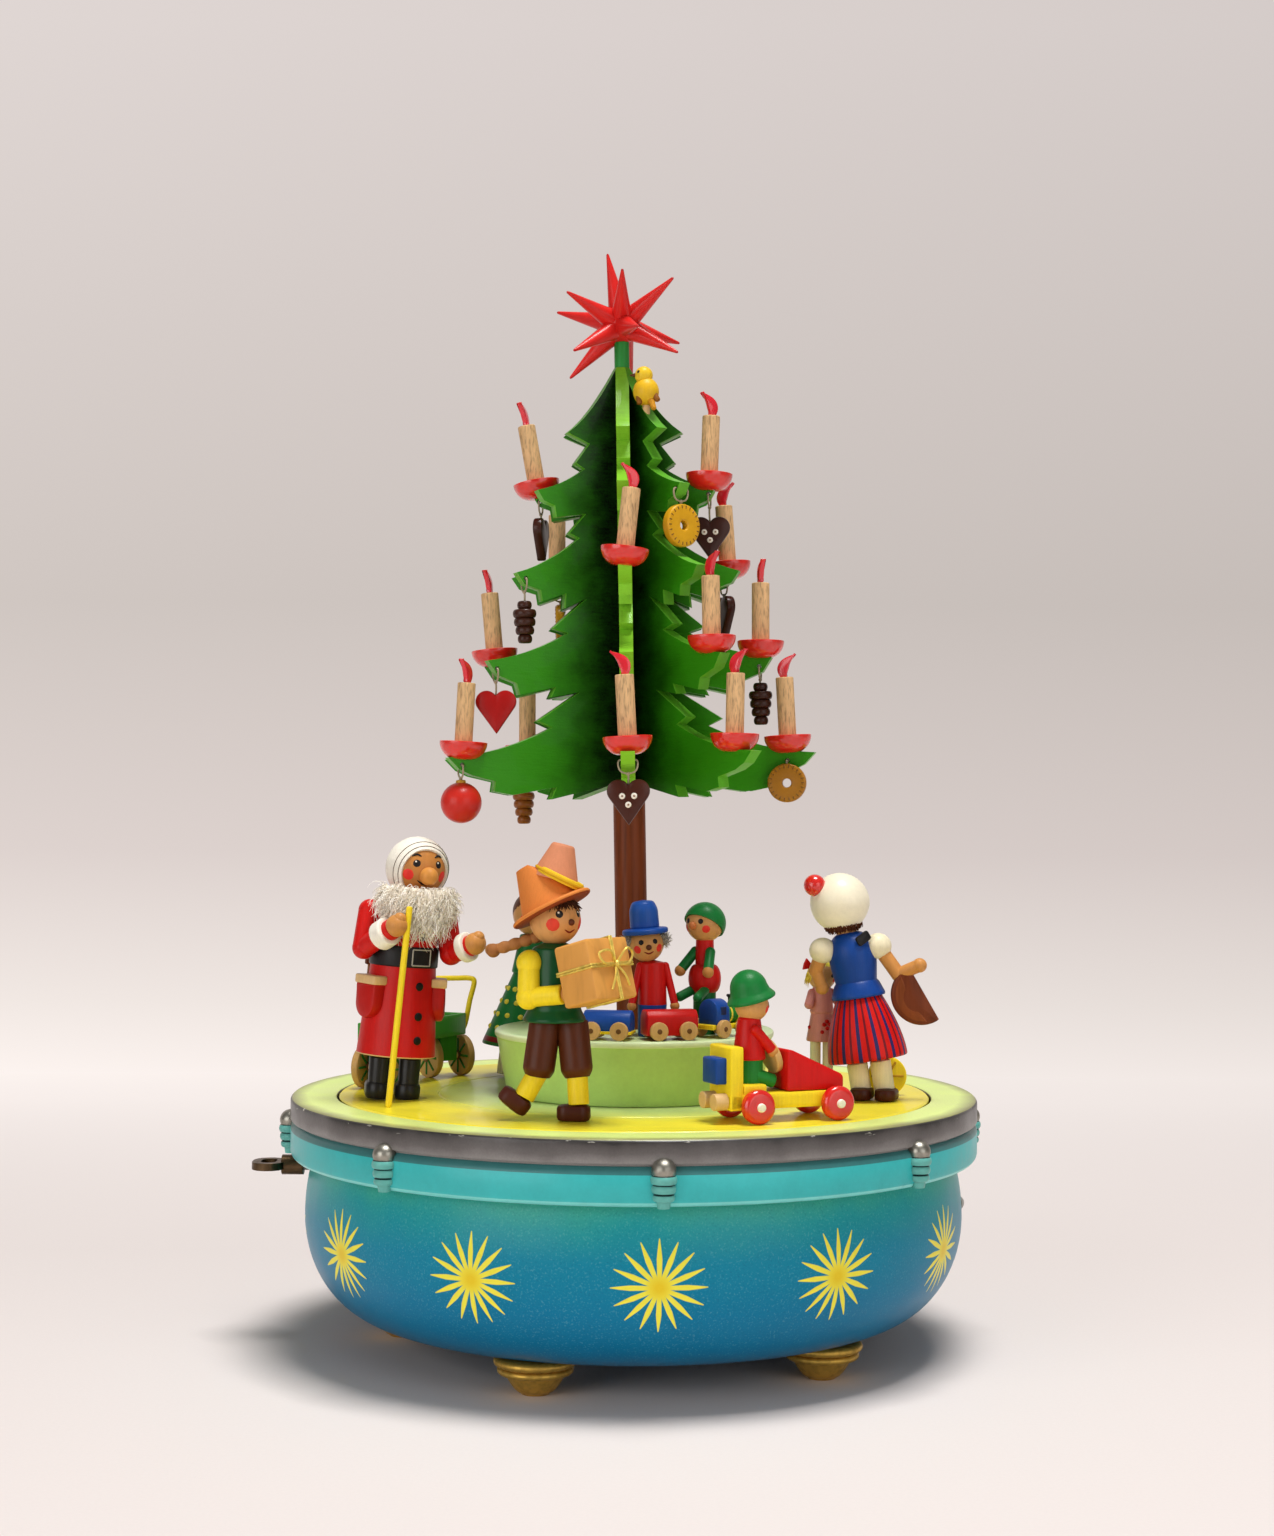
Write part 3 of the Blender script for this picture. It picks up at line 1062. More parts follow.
def build_old_man():
    """Turned coat, hood and boots. The beard is a lumpy band round the chin under strands of wool."""
    place = stand(-76, -23, 14, 4.5)
    waist = 10.3
    skirt = turned([(0, 14), (12.4, 14), (12.35, 15.2), (waist, 42.3), (0, 42.3)], 64, 0.4, RED)
    skirt = skirt.tint_where(lambda p: p[:, 2] < 14.7, PALE_WOOD)
    chest = turned(dome(waist, 64.5, 48), 64, tint=RED)
    belt = turned([(0, 42), (10.8, 42), (10.8, 48.5), (0, 48.5)], 64, 0.5, BLACK)
    front = 23
    buttons = []
    for z in (51.7, 36.3, 27, 19.6):
        r = waist if z > 42 else waist + 2.1 * (42 - z) / 28
        buttons.append(button("#14100e").at(on_bearing(front, r, z)))
    frame_line = np.array([(-3.2, 42.8), (3.2, 42.8), (3.2, 47.7), (-3.2, 47.7), (-3.2, 42.8)])
    line = np.concatenate([np.linspace(a, b, 8)[:-1] for a, b in zip(frame_line[:-1], frame_line[1:])])
    turn = np.radians(front + line[:, 0] / 10.8 * 57.3)
    loop = np.column_stack([10.85 * np.sin(turn), -10.85 * np.cos(turn), line[:, 1]])
    ring = np.concatenate([loop, loop[:1]])
    buckle = [rod(p, q, 0.22, soft=0, sides=8, tint="#b5b0a6") for p, q in zip(ring[:-1], ring[1:])]
    pouches = []
    for side in (-1, 1):
        sack = np.concatenate([arc((0, -2.6), 5, 180, 360, 22), [(5, 3.2), (-5, 3.2)]])
        bag = slab(sack, 4.4, 1.1, 0.3, DEEP_RED)
        bar = block(10.8, 5, 2.8, 0.5, PALE_WOOD).at(shift(0, 0, 4.4))
        pouches.append(joined(bag, bar).at(spin("z", 9 + side * 72) @ shift(0, -waist - 1.4, 33)))
    piece("red_coat", joined(skirt, chest, belt, buttons, buckle, pouches).at(place), PAINT, "turntable",
          "father_coat")
    rails = [block(2, 4.5, 37, 0.4, BROWN).at(shift(s * 5, waist - 0.25, 42.5)) for s in (-1, 1)]
    panel = block(16, 1.6, 28, 0.4, "#7c4a2a").at(shift(0, waist + 1.25, 42))
    straps = [block(17.6, 2.2, 1.8, 0.4, BROWN).at(shift(0, waist + 1.6, z)) for z in (31, 42, 53)]
    pack = joined(rails, panel, straps).at(place @ spin("z", 9))
    piece("back_frame", pack, WOOD, "turntable", slot="trunk_wood")

    boots = []
    for x in (-4.7, 4.7):
        leg = turned([(0, 0), (3.5, 0), (3.3, 6), (3.5, 13), (0, 13.9)], 28, 0.4, BLACK)
        foot = sole(4.0, 3.7, 4, 5.4, 1.3, BLACK)
        boots.append(joined(leg, foot).at(place @ shift(x, 0, 0.1)))
    piece("black_boots", joined(boots), SATIN, "turntable", "father_boots")

    right = ((-12, -0.5, 58.5), (-13.4, -4, 47), (-5.5, -16.7, 55))
    left = ((12, -0.5, 58.5), (14, -5, 47), (20, -12.5, 51))
    arms = []
    for points in (right, left):
        arms.append(sleeve_arm(points, 3.6, 4.7, 3.5, RED, WHITE, HAND_WOOD))
        wrist = np.array(points[2])
        ahead = wrist - points[1]
        arms.append(ball(wrist + ahead / np.linalg.norm(ahead) * 1.2 + (0, 0, 1.6), 2.0, HAND_WOOD))
    piece("red_sleeves", joined(arms).at(place), PAINT, "turntable", "father_arms")
    staff = smooth([(-3.8, -19.3, 0.3), (-3.1, -18.4, 28), (-2.2, -17.4, 60.5)], 8)
    piece("yellow_staff", tube(staff, 1.0, 14, BRIGHT_YELLOW).at(place), PAINT, "turntable", "father_staff")

    centre = (1.8, 0, 72.9)
    look = place @ shift(*centre) @ spin("z", 14)
    origin = (0, 0, 0)
    r = 9.2
    nose = ball((0, -10.0, -2.2), 2.9, "#c9873f", (1, 1.05, 1))
    face = joined(ball(origin, r, "#b97a3c", (1, 1, 1), 30, 48), nose,
                  stroke(origin, r, [(-20, -24), (-8, -31), (8, -31), (21, -23)], 0.6),
                  features(origin, r, (24, 10, 1.2), (40, -13, 1.8)),
                  [spot(origin, r + 0.1, a, 13, 0.3, WHITE) for a in (-26, 22)],
                  [stroke(origin, r, [(a - 10, 24), (a, 28), (a + 9, 25)], 0.7) for a in (-25, 26)])
    piece("old_man_face", face.at(look), FACE, "turntable", "father_head")
    hood_r = 9.95
    hood = shell(9.15, hood_r, 51, 30, 56, WHITE)
    lines = []
    for angle in (58, 70):
        at = math.radians(angle)
        small = arc((hood_r * math.sin(at), -hood_r * math.cos(at)), 0.14, 0, 315, 8)
        lines.append(turned(small, 56, tint="#5b4636"))
    piece("white_hood", joined(hood, lines).at(look @ spin("x", -78)), MATT, "turntable",
          slot="face_wood")

    count = 1700
    bearing = rng.uniform(-70, 70, count) + 8
    lift = rng.uniform(0, 1, count)
    reach = np.maximum(0, 1 - (np.abs(bearing - 8) / 76) ** 2)
    low = 64 - 11 * reach
    z = low + (67.5 - low) * lift
    bulk = np.sin(np.pi * np.clip(0.15 + 0.75 * lift, 0.08, 0.92)) ** 0.7
    swell = 10.2 + (0.9 + 2.7 * np.sqrt(reach)) * bulk
    b = np.radians(bearing)
    roots = np.column_stack([swell * np.sin(b) + 0.8, -swell * np.cos(b), z])
    outward = np.column_stack([0.5 * np.sin(b), -0.8 * np.cos(b), -1.4 + 0.9 * lift])
    aims = outward + rng.normal(0, 0.4, (count, 3))
    u = np.radians(np.linspace(-68, 68, 60) + 8)
    v = np.linspace(0, 2 * np.pi, 24, endpoint=False)
    span = np.maximum(0, 1 - (np.abs(np.degrees(u) - 8) / 76) ** 2)
    low_u = 64.5 - 11 * span
    mid = (low_u + 66.8) / 2
    half = (66.8 - low_u) / 2
    bulge = 10.3 + (0.7 + 1.3 * np.sqrt(np.maximum(0.02, span)))[:, None] * (1 + np.cos(v))
    lumps = 1 + 0.05 * np.sin(u * 23)[:, None] * np.cos(v * 3) + 0.04 * np.sin(u * 41 + 1)[:, None]
    bulge = bulge * lumps
    rings = np.stack([bulge * np.sin(u)[:, None] + 0.8, -bulge * np.cos(u)[:, None],
                      mid[:, None] + half[:, None] * np.sin(v)], -1)
    base = skin(rings[:, ::-1], rings[0].mean(0), rings[-1].mean(0))
    curls = [hairs(roots[k::3], aims[k::3], 3.8, 0.19, 4.0, 7, 3, 0.35).tint(text)
             for k, text in enumerate(("#fffaf0", "#f7efe0", "#e9deca"))]
    beard = joined(base.tint("#f0e7d6"), curls)
    piece("wool_beard", beard.at(place), WOOL, "turntable", "father_beard")


def build_cart():
    """Boards of a tray on two turned axles with spoked discs, and a bent handle."""
    place = stand(-73.3, 22.5, 64.5)
    green, floor = "#3f8f2c", 14.4
    walls = [block(50, 1.1, 7.2, 0.3, green).at(shift(-1, s * 5.45, floor + 3.6)) for s in (-1, 1)]
    ends = [block(1.1, 10.4, 7.2, 0.3, green).at(shift(-1 + s * 24.45, 0, floor + 3.6)) for s in (-1, 1)]
    tray = joined(walls, ends, block(49.6, 11, 1.6, 0.3, "#4d9c38").at(shift(-1, 0, floor + 0.8)))
    under = []
    wheels = []
    for i in (0, 1):
        axle = place @ shift((2 * i - 1) * 20.5, 0, 0) @ spin("z", i * 64)
        under.append(rod((0, -7.8, 7), (0, 7.8, 7), 1.2, tint=PALE_WOOD).at(axle))
        under.append(block(4, 7, 9.2, 0.4, green).at(axle @ shift(0, 0, 10)))
        for s in (-1, 1):
            disc = spoked(7, 1.2, "#c49a5e", 8, (1.4, 5.9), 0.42, "#2c6f28")
            hub = turned([(0, -1.9), (1.7, -1.9), (1.7, 1.9), (0, 1.9)], 20, 0.4, "#6e4a26")
            wheels.append(joined(disc, hub).at(axle @ shift(0, s * 6.4, 7) @ spin("x", 90)))
    path = smooth([(-63.5, 42.5, 97), (-58.8, 43.5, 96), (-56.4, 43.5, 106), (-55, 43.5, 112),
                   (-56.6, 43.5, 113.3), (-61, 43.5, 113.3), (-67.5, 43.5, 113.2)], 8)
    handle = tube(path, 0.9, 12, BRIGHT_YELLOW, side=(0, 1, 0))
    piece("green_handcart", joined(tray.at(place), under, handle), PAINT, "turntable", "cart_body")
    piece("cart_discs", joined(wheels), PAINT, "turntable", "cart_wheels")


# Child with parcel

def build_child():
    """Turned clothes and rod limbs. The hat's crown is a cone cut by a slant, with a second cone on it."""
    place = stand(-23.5, -69)
    vest_side = [(0, 28.9), (9.3, 28.9), (9.3, 29.8), (7.9, 32.4), (6.6, 50.4), (3.4, 52), (0, 52)]
    vest = turned(vest_side, 56, 0.6, DARK_GREEN)
    piece("green_vest", vest.at(place), SATIN, "turntable", "child_body")

    legs = []
    for hip, knee, ankle, heel in (((-2.6, 0, 29), (-4.8, -1, 12.5), (-8.8, -2, 6.6), 38),
                                   ((5.2, 0, 29), (7, -2, 12.5), (7.4, -3, 4.7), 0)):
        hip, knee, ankle = (np.array(p, float) for p in (hip, knee, ankle))
        length = np.linalg.norm(hip - knee)
        cloth_side = [(0, 0), (3.6, 0), (4.75, 2.2), (4.7, length - 0.1), (0, length - 0.1)]
        cloth = turned(cloth_side, 36, 0.8, BROWN)
        cuff = turned([(3.0, 0), (3.75, 0.2), (3.75, 1.2), (3.0, 1.4)], 32, 0.3, DARK_BROWN)
        legs.append(joined(cloth, cuff).at(along(knee, hip)))
        legs.append(rod(knee + (hip - knee) * 0.1, ankle, 3.1, tint=BRIGHT_YELLOW))
        shoe = sole(3.5, 2.9, 3.6, 4.8, 1.2, DARK_BROWN).at(spin("z", 90))
        legs.append(shoe.at(shift(*ankle) @ spin("y", heel) @ shift(0, 0, -4.75)))
    piece("breeches_and_shoes", joined(legs).at(place @ shift(0, 0, 0.05)), PAINT, "turntable", "child_legs")

    arms = []
    for points in (((-7.2, -4, 46.2), (-7.4, -6, 36.3), (4.6, -11, 37.8)),
                   ((6.5, 4, 46.2), (9.4, 5, 37), (14.6, 0.6, 38))):
        shoulder, elbow, hand = (np.array(p, float) for p in points)
        arms += [rod(shoulder, elbow, 3.3, soft=0, tint=BRIGHT_YELLOW), ball(shoulder, 3.9, BRIGHT_YELLOW),
                 ball(elbow, 3.6, BRIGHT_YELLOW),
                 rod(elbow, elbow + (hand - elbow) * 0.85, 2.9, soft=0.5, tint=BRIGHT_YELLOW),
                 ball(hand, 2.6, HAND_WOOD)]
    piece("yellow_sleeves", joined(arms).at(place), PAINT, "turntable", "child_arms")

    head_z, r = 58.9, 7.6
    origin = (0, 0, 0)
    head = ball(origin, r, "#cd9458", (1, 1, 1), 28, 44)
    marks = features(origin, r, (29, 14, 1.15), (44, -10, 2.0), blush="#d9432f")
    shine = [spot(origin, r + 0.1, a, 17, 0.35, WHITE) for a in (-31, 27)]
    smile = stroke(origin, r, [(-14, -22), (0, -28), (14, -22)], 0.6, "#7c2318")
    nose = ball((0, -r, -0.6), 1.0, "#5c2f1b")
    glance = 41
    face = joined(head, marks, shine, smile, nose).at(place @ shift(0, 0, head_z) @ spin("z", glance))
    piece("child_face", face, FACE, "turntable", "child_head")
    tilt = shift(-0.6, 0, 2.4) @ spin("y", -27) @ spin("x", -8)
    count = 260
    a = rng.uniform(-58, 66, count)
    e = rng.uniform(37, 52, count)
    outward = direction(a + glance, e)
    aims = outward * 0.45 + (0, 0, -1) + rng.normal(0, 0.14, (count, 3))
    fringe = hairs((r + 0.1) * outward, aims, 2.5, 0.3, 1.2, 5, 4)
    p, q = np.array((-3.8, 2.2, -4.9)), np.array((-18.3, 3, -9.5))
    t = np.linspace(0, 1, 60)
    twist = 1.35 + 0.45 * np.abs(np.sin(t * np.pi * 4.5))
    twist[t > 0.9] = 1.0
    plait = tube(p + (q - p) * t[:, None], twist, 16, "#a96f3c")
    hair = joined(fringe.tint("#4a2a18"), plait, ball(q, 2.1, "#9a6233"))
    piece("child_hair", hair.at(place @ shift(0, 0, head_z)), MATT, "turntable", slot="dark_brown_paint")
    brim = turned([(0, 0), (12.2, 0.1), (12.7, 0.8), (12.2, 1.6), (0, 1.6)], 56, 0.4, "#d67f38")
    brim = brim.tint_where(lambda p: p[:, 2] < 0.5, "#8d3f1b").at(tilt)
    t = np.linspace(0, 1, 30)
    cone = np.column_stack([9.6 - 4.8 * t, 0.2 + 14.8 * t])
    crown = turned(np.concatenate([[(0, 0.2)], cone, [(0, 15)]]), 64, tint="#d97f38").at(tilt)
    slant = 11.5 - math.tan(math.radians(27)) * (crown.points[:, 0] - 1)
    crown.points[:, 2] = np.minimum(crown.points[:, 2], slant)
    band = turned([(0, 0), (7.9, 0), (7.3, 2.2), (0, 2.2)], 56, 0.4, "#e8bf24")
    welt = turned(arc((7.7, 1.1), 0.5, 0, 330, 10), 56, tint="#cf9f16")
    peak = turned([(0, 0), (7.1, 0), (3.5, 10), (3.0, 10.5), (0, 10.6)], 48, 0.4, "#cf8560")
    hat = joined(brim, crown, joined(band, welt).at(shift(1, 0, 11.3) @ spin("y", 26)),
                 peak.at(shift(-0.1, 0, 11.9) @ spin("y", 14)))
    piece("felt_hat", hat.at(place @ shift(0, 0, head_z)), MATT, "turntable", slot="amber_paint")

    parcel_place = place @ spin("z", 50) @ shift(0, -16, 44) @ spin("x", -15)
    parcel = block(18, 13, 18, 0.8, "#cf9247")
    piece("wooden_parcel", parcel.at(parcel_place), CRATE, "turntable", "child_parcel")
    ties = []
    w, d, h = 9.15, 6.65, 9.15
    ties.append([(-w, -d, 1), (w, -d, 1), (w, d, 1), (-w, d, 1), (-w, -d, 1)])
    ties.append([(1.5, -d, -h), (1.5, -d, h), (1.5, d, h), (1.5, d, -h), (1.5, -d, -h)])
    raffia = []
    for path in ties:
        for p, q in zip(path[:-1], path[1:]):
            for shift_by in (-0.35, 0.35):
                off = np.array((0, 0, shift_by)) if path is ties[0] else np.array((shift_by, 0, 0))
                raffia.append(tube(np.linspace(np.array(p) + off, np.array(q) + off, 5), 0.36, 7))
    for bend in ([(1.5, -7, 1), (-2.5, -9.2, 4.6), (-6.4, -8.2, 4.2), (-4.4, -8, 1.2), (1.5, -7.2, 1)],
                 [(1.5, -7, 1), (4.8, -9.2, 5), (8.2, -8.2, 3.6), (5.8, -8, 0.8), (1.5, -7.2, 1)],
                 [(1.5, -7, 1), (-0.8, -8, -2.6), (-2.8, -7.6, -6.2)],
                 [(1.5, -7, 1), (3.4, -8, -2.4), (5.2, -7.4, -5.4)]):
        raffia.append(tube(smooth(bend, 8), 0.38, 7))
    raffia.append(ball((1.5, -7.3, 1), 1.1, rows=12, cols=16))
    piece("raffia_tie", joined(raffia).tint("#ecd066").at(parcel_place), GILT, "turntable",
          slot="plain_wood")


# Toy car

def build_car():
    """Blocks for the body, turned wheels and a turned driver who sits facing +X."""
    place = stand(37, -80, 24.6)
    mid = 11.06
    floor = block(38.4, 14, 4.6, 0.5, BRIGHT_YELLOW).at(shift(11.2, 0, 6.4))
    seat = block(7.6, 14, 3.4, 0.5, BRIGHT_YELLOW).at(shift(0.2, 0, 9.6))
    back = block(4.4, 14, 18.6, 0.6, BRIGHT_YELLOW).at(shift(-5.8, 0, 13.2))
    box = block(4.2, 8.8, 7.6, 0.5, BLUE).at(shift(-9.5, 0, 15.3))
    cans = [rod((-12, s * 3.6, 6.4), (-7, s * 3.6, 6.4), 2.5, tint=PALE_WOOD) for s in (-1, 1)]
    pins = [rod((x, -11.9, 5.1), (x, 11.9, 5.1), 1.25, tint=WHITE) for x in (0, 26.4)]
    body = joined(floor, seat, back, box, cans, pins).at(place @ shift(0, mid, 0))
    piece("yellow_chassis", body, PAINT, "turntable", "car_chassis")
    hood = np.array([(11, 8.86), (30, 8.86), (30, 13), (12.6, 21), (11, 21)])
    bonnet = slab(soften(hood, 1.1, True, 5), 12.8, 0.7, 0, "#c9100d", (17, 12.5))
    lamps = [rod((29.6, s * 3.6, 10.9), (30.5, s * 3.6, 10.9), 1.3, tint="#e6d9a8") for s in (-1, 1)]
    piece("red_bonnet", joined(bonnet, lamps).at(place @ shift(0, mid, 0)), PAINT, "turntable", "car_bonnet")
    wheels = []
    tyre = turned([(0, -2), (4.1, -2), (5.1, -1.1), (5.1, 1.1), (4.1, 2), (0, 2)], 40, 0.5, "#d3201a")
    hub = turned([(0, -2.3), (1.35, -2.3), (1.35, 2.3), (0, 2.3)], 24, 0.3, WHITE)
    for x in (0, 26.4):
        for s in (-1, 1):
            wheels.append(joined(tyre, hub).at(place @ shift(x, mid + s * 9.06, 5.1) @ spin("x", 90)))
    piece("red_wheels", joined(wheels), LACQUER, "turntable", "car_wheels")

    seat_place = place @ shift(1.6, mid, 11)
    trousers = [turned([(0, 0.1), (4.1, 0.1), (4.1, 8), (0, 8)], 32, 0.4, GREEN)]
    trousers += [rod((0.6, s * 2.2, 2.6), (7, s * 2.2, 0.6), 2.1, soft=0.6, tint=GREEN) for s in (-1, 1)]
    coat = turned([(0, 7), (5, 7), (4.7, 9.5), (3.3, 19.4), (0, 20.2)], 36, 0.8, RED)
    arms = [limb([(0, s * 4, 16), (6, s * 3.6, 9.5)], 1.6, RED) for s in (-1, 1)]
    hands = [ball((6, s * 3.6, 9.5), 1.75, HAND_WOOD) for s in (-1, 1)]
    centre = (0.8, 0, 23)
    face = joined(ball(centre, 5, "#cd9458", (1, 1, 1), 24, 36), ball((5.7, 0, 22.5), 0.9, "#b06a3a"),
                  features(centre, 5, (24, 4, 0.75), (44, -14, 1.25), 90))
    wheel = turned([(0, 0), (5.3, 0), (5.3, 2.1), (0, 2.1)], 36, 0.5, "#cfa264")
    wheel = wheel.at(shift(6.2, 0, 7.5) @ spin("y", 70))
    bell = np.concatenate([[(0, 0), (7.3, 0), (7.3, 0.8), (6.0, 2.4)], arc((0, 3.6), 5.6, 4, 90, 12)])
    bell[-1, 0] = 0
    hat = turned(bell, 44, 0.35, "#167232").at(shift(0.8, 0, 24.4) @ spin("y", -16))
    figure = joined(trousers, coat, arms, hands, face, wheel, hat)
    piece("little_driver", figure.at(seat_place), PAINT, "turntable", "driver")


# Girl seen from behind

def build_girl():
    """A turned skirt with stripes by bearing, rod limbs, a shell for a cap, and a doll with a spoked disc."""
    place = stand(76, -18, 165, 9)
    hem = 13
    t = np.linspace(0, 1, 16)
    skirt_side = np.column_stack([12.6 - 5.4 * t ** 1.6, hem + 1 + 19 * t])
    sides = 182
    skirt = turned(np.concatenate([[(0, hem), (12.3, hem), (12.6, hem + 0.4)], skirt_side,
                                   [(0, hem + 20.4)]]), sides, tint=RED)

    def stripe(p, count, width, start=0):
        """The points within a width of the nearest of so many bearings."""
        share = (np.degrees(np.arctan2(p[:, 0], -p[:, 1])) + start) / 360 * count
        return (np.abs(share - np.round(share)) < width) & (np.hypot(p[:, 0], p[:, 1]) > 5)

    skirt = skirt.tint_where(lambda p: stripe(p, 14, 0.12), "#2c2358")
    skirt = skirt.tint_where(lambda p: stripe(p, 14, 0.05, 360 / 28), "#6d0f1c")
    peplum = turned([(0, hem + 19.6), (8.5, hem + 19.6), (8.6, hem + 20.4), (7.2, hem + 24),
                     (6.4, hem + 25), (0, hem + 25)], 56, 0.4, BLUE)
    a = np.linspace(0, np.pi / 2, 12)
    bust = np.column_stack([2.6 + 5 * np.cos(a), hem + 33 + 7.4 * np.sin(a)])
    bodice = turned(np.concatenate([[(0, hem + 24), (6.5, hem + 24), (7.4, hem + 30)], bust,
                                    [(0, hem + 40.4)]]), 56, tint=BLUE)
    tie = slab(box_outline(5.2, 3.2, 0.8), 1.2, 0.4, 0.2, BLACK)
    tie = tie.at(shift(-5.2, 5.4, 51) @ spin("z", 40) @ spin("y", 25))
    piece("striped_dress", joined(skirt, peplum, bodice, tie).at(place), PAINT, "turntable", "girl_dress")

    legs = []
    for s in (-1, 1):
        leg = turned([(0, 0.6), (3.2, 0.6), (3.3, 12), (0, 12.9)], 32, 0.3, CREAM)
        legs.append(leg.at(place @ shift(s * 3.7, 0, 0)))
        foot = stand(76, -18, 165) @ shift(s * 3.9, 0, 0.1)
        legs.append(sole(3.8, 3.4, 2.8, 3.8, 1.1, DARK_BROWN).at(foot))
    arms = []
    for shoulder, elbow, hand in (((77, -18, 48.6), (83.3, -19, 39.7), (89.7, -22, 42.8)),
                                  ((59.6, -17, 47), (57.6, -15, 40.4), (59.6, -15.2, 35.2))):
        arms.append(ball(shoulder, 4.3, CREAM, (1, 1, 0.95)))
        arms.append(limb([shoulder, elbow], 2.3, HAND_WOOD))
        arms.append(limb([elbow, hand], 2.1, HAND_WOOD))
        arms.append(ball(hand, 2.3, HAND_WOOD))
    piece("girl_arms_and_legs", joined(legs, joined(arms).at(shift(0, 0, PLATE_Z))), PAINT, "turntable",
          "girl_limbs")
    half = arc((0, 0), 9.6, 180, 360, 36)
    bag = slab(np.concatenate([half, [(9.4, 0.9), (-9.4, 0.9)]]), 3.4, 0.8, 0.3, "#6a2f12", (0, -3.4))
    lining = slab(arc((0, 0.2), 8.6, 200, 340, 24), 3.7, 0.4, 0.1, "#7c3c16", (0, -4.4))
    lean = shift(90.5, -20, PLATE_Z + 33.5) @ spin("y", 60)
    piece("brown_bag", joined(bag, lining).at(lean), WOOD, "turntable", slot="dark_brown_paint")

    look = place @ shift(1.4, 0, hem + 50.1)
    origin = (0, 0, 0)
    head = joined(ball(origin, 9, "#cd9458", (1, 1, 1), 28, 44),
                  rod((-1, 0, -11.5), (0, 0, -6), 3.2, tint="#cd9458"))
    face = joined(head, features(origin, 9, (24, 6, 1.25), (38, -14, 1.9)),
                  stroke(origin, 9, [(-12, -26), (0, -31), (12, -26)], 0.6, "#7c2318"),
                  ball((0, -9, -1.5), 0.95, "#a0603a"))
    piece("girl_face", face.at(look), FACE, "turntable", "girl_head")
    count = 500
    around = rng.uniform(60, 300, count)
    rise = rng.uniform(-64, -48, count)
    outward = direction(around, rise)
    aims = (0, 0, -1) - outward * 0.2 + rng.normal(0, 0.1, (count, 3))
    hair = hairs(9.05 * outward, aims, 1.5, 0.24, 1.0, 5, 4)
    under = ball((0, 0.12, 0), 8.97, "#3b1a0d", (1, 1, 1), 28, 44)
    piece("girl_hair", joined(hair.tint("#57290f"), under).at(look), MATT, "turntable",
          slot="dark_brown_paint")
    cap = shell(9.15, 9.45, 60, 30, 56, "#f0e6cb").at(spin("z", -24) @ spin("x", -60))
    piece("cream_cap", cap.at(look), SATIN, "turntable", slot="face_wood")
    bobble = ball((6.2, 5.2, 6.6), 3.5, "#d3231c", rows=22, cols=34)
    piece("red_bobble", bobble.at(look), LACQUER, "turntable", slot="red_paint")

    doll = stand(60.5, -2.5, 20)
    limbs = [rod((s * 2.2, 0, 0.05), (s * 2.2, 0, 18.4), 1.7, tint=CREAM) for s in (-1, 1)]
    shoes = [sole(1.9, 1.8, 1.6, 2, 0.6, DARK_BROWN).at(shift(s * 2.2, 0, 0.05)) for s in (-1, 1)]
    gown = turned([(0, 17), (5, 17), (4.9, 18), (3.5, 26), (3.9, 26.4), (3.0, 34.4), (0, 34.8)], 36, 0.5,
                  "#dd8f86")
    petals = ((0, 21.4), (22, 20.2), (-22, 20.2), (0, 23.6), (14, 22.6), (-14, 22.6), (90, 21.5),
              (-90, 21.5), (180, 21.5))
    flower = [button(RED, 0.65).at(on_bearing(b, 4.35 - 0.03 * (h - 20), h)) for b, h in petals]
    sleeves = [limb([(s * 3.4, 0, 32.4), (s * 5.4, -2, 29)], 1.5, "#dd8f86") for s in (-1, 1)]
    top = (0, 0, 38)
    outward = direction(rng.uniform(70, 290, 240), rng.uniform(-10, 70, 240))
    locks = hairs(4.6 * outward + top, outward * 0.3 + (0, 0, -1), 2.6, 0.26, 1.0, 5, 4)
    crown_hair = ball((0, 0.45, 38.5), 4.62, LEMON, (1, 1, 1), 20, 32)
    ribbon = slab([(0, -0.5), (2.6, -1.9), (2.9, 0), (2.6, 1.9), (0, 0.5)], 1.4, 0.3, 0, RED, (1.6, 0))
    bow = [ribbon.at(shift(-3.6, 0, 41) @ spin("y", a)) for a in (20, 200)]
    face = joined(ball(top, 4.6, "#d6a068", (1, 1, 1), 22, 34),
                  features(top, 4.6, (24, 2, 0.6), (40, -16, 0.9)))
    figure = joined(limbs, shoes, gown, flower, sleeves, face, crown_hair, locks.tint("#ecd04a"),
                    bow).at(doll)
    hoop = spoked(6.2, 1.3, BRIGHT_YELLOW, 6, (1.2, 5.2), 0.4, "#b58a1e")
    hoop = hoop.at(shift(81.3, -5.9, PLATE_Z + 6.32) @ spin("x", 90))
    piece("girl_doll_and_wheel", joined(figure, hoop), PAINT, "turntable", "girl_doll")


# Toys on the pedestal

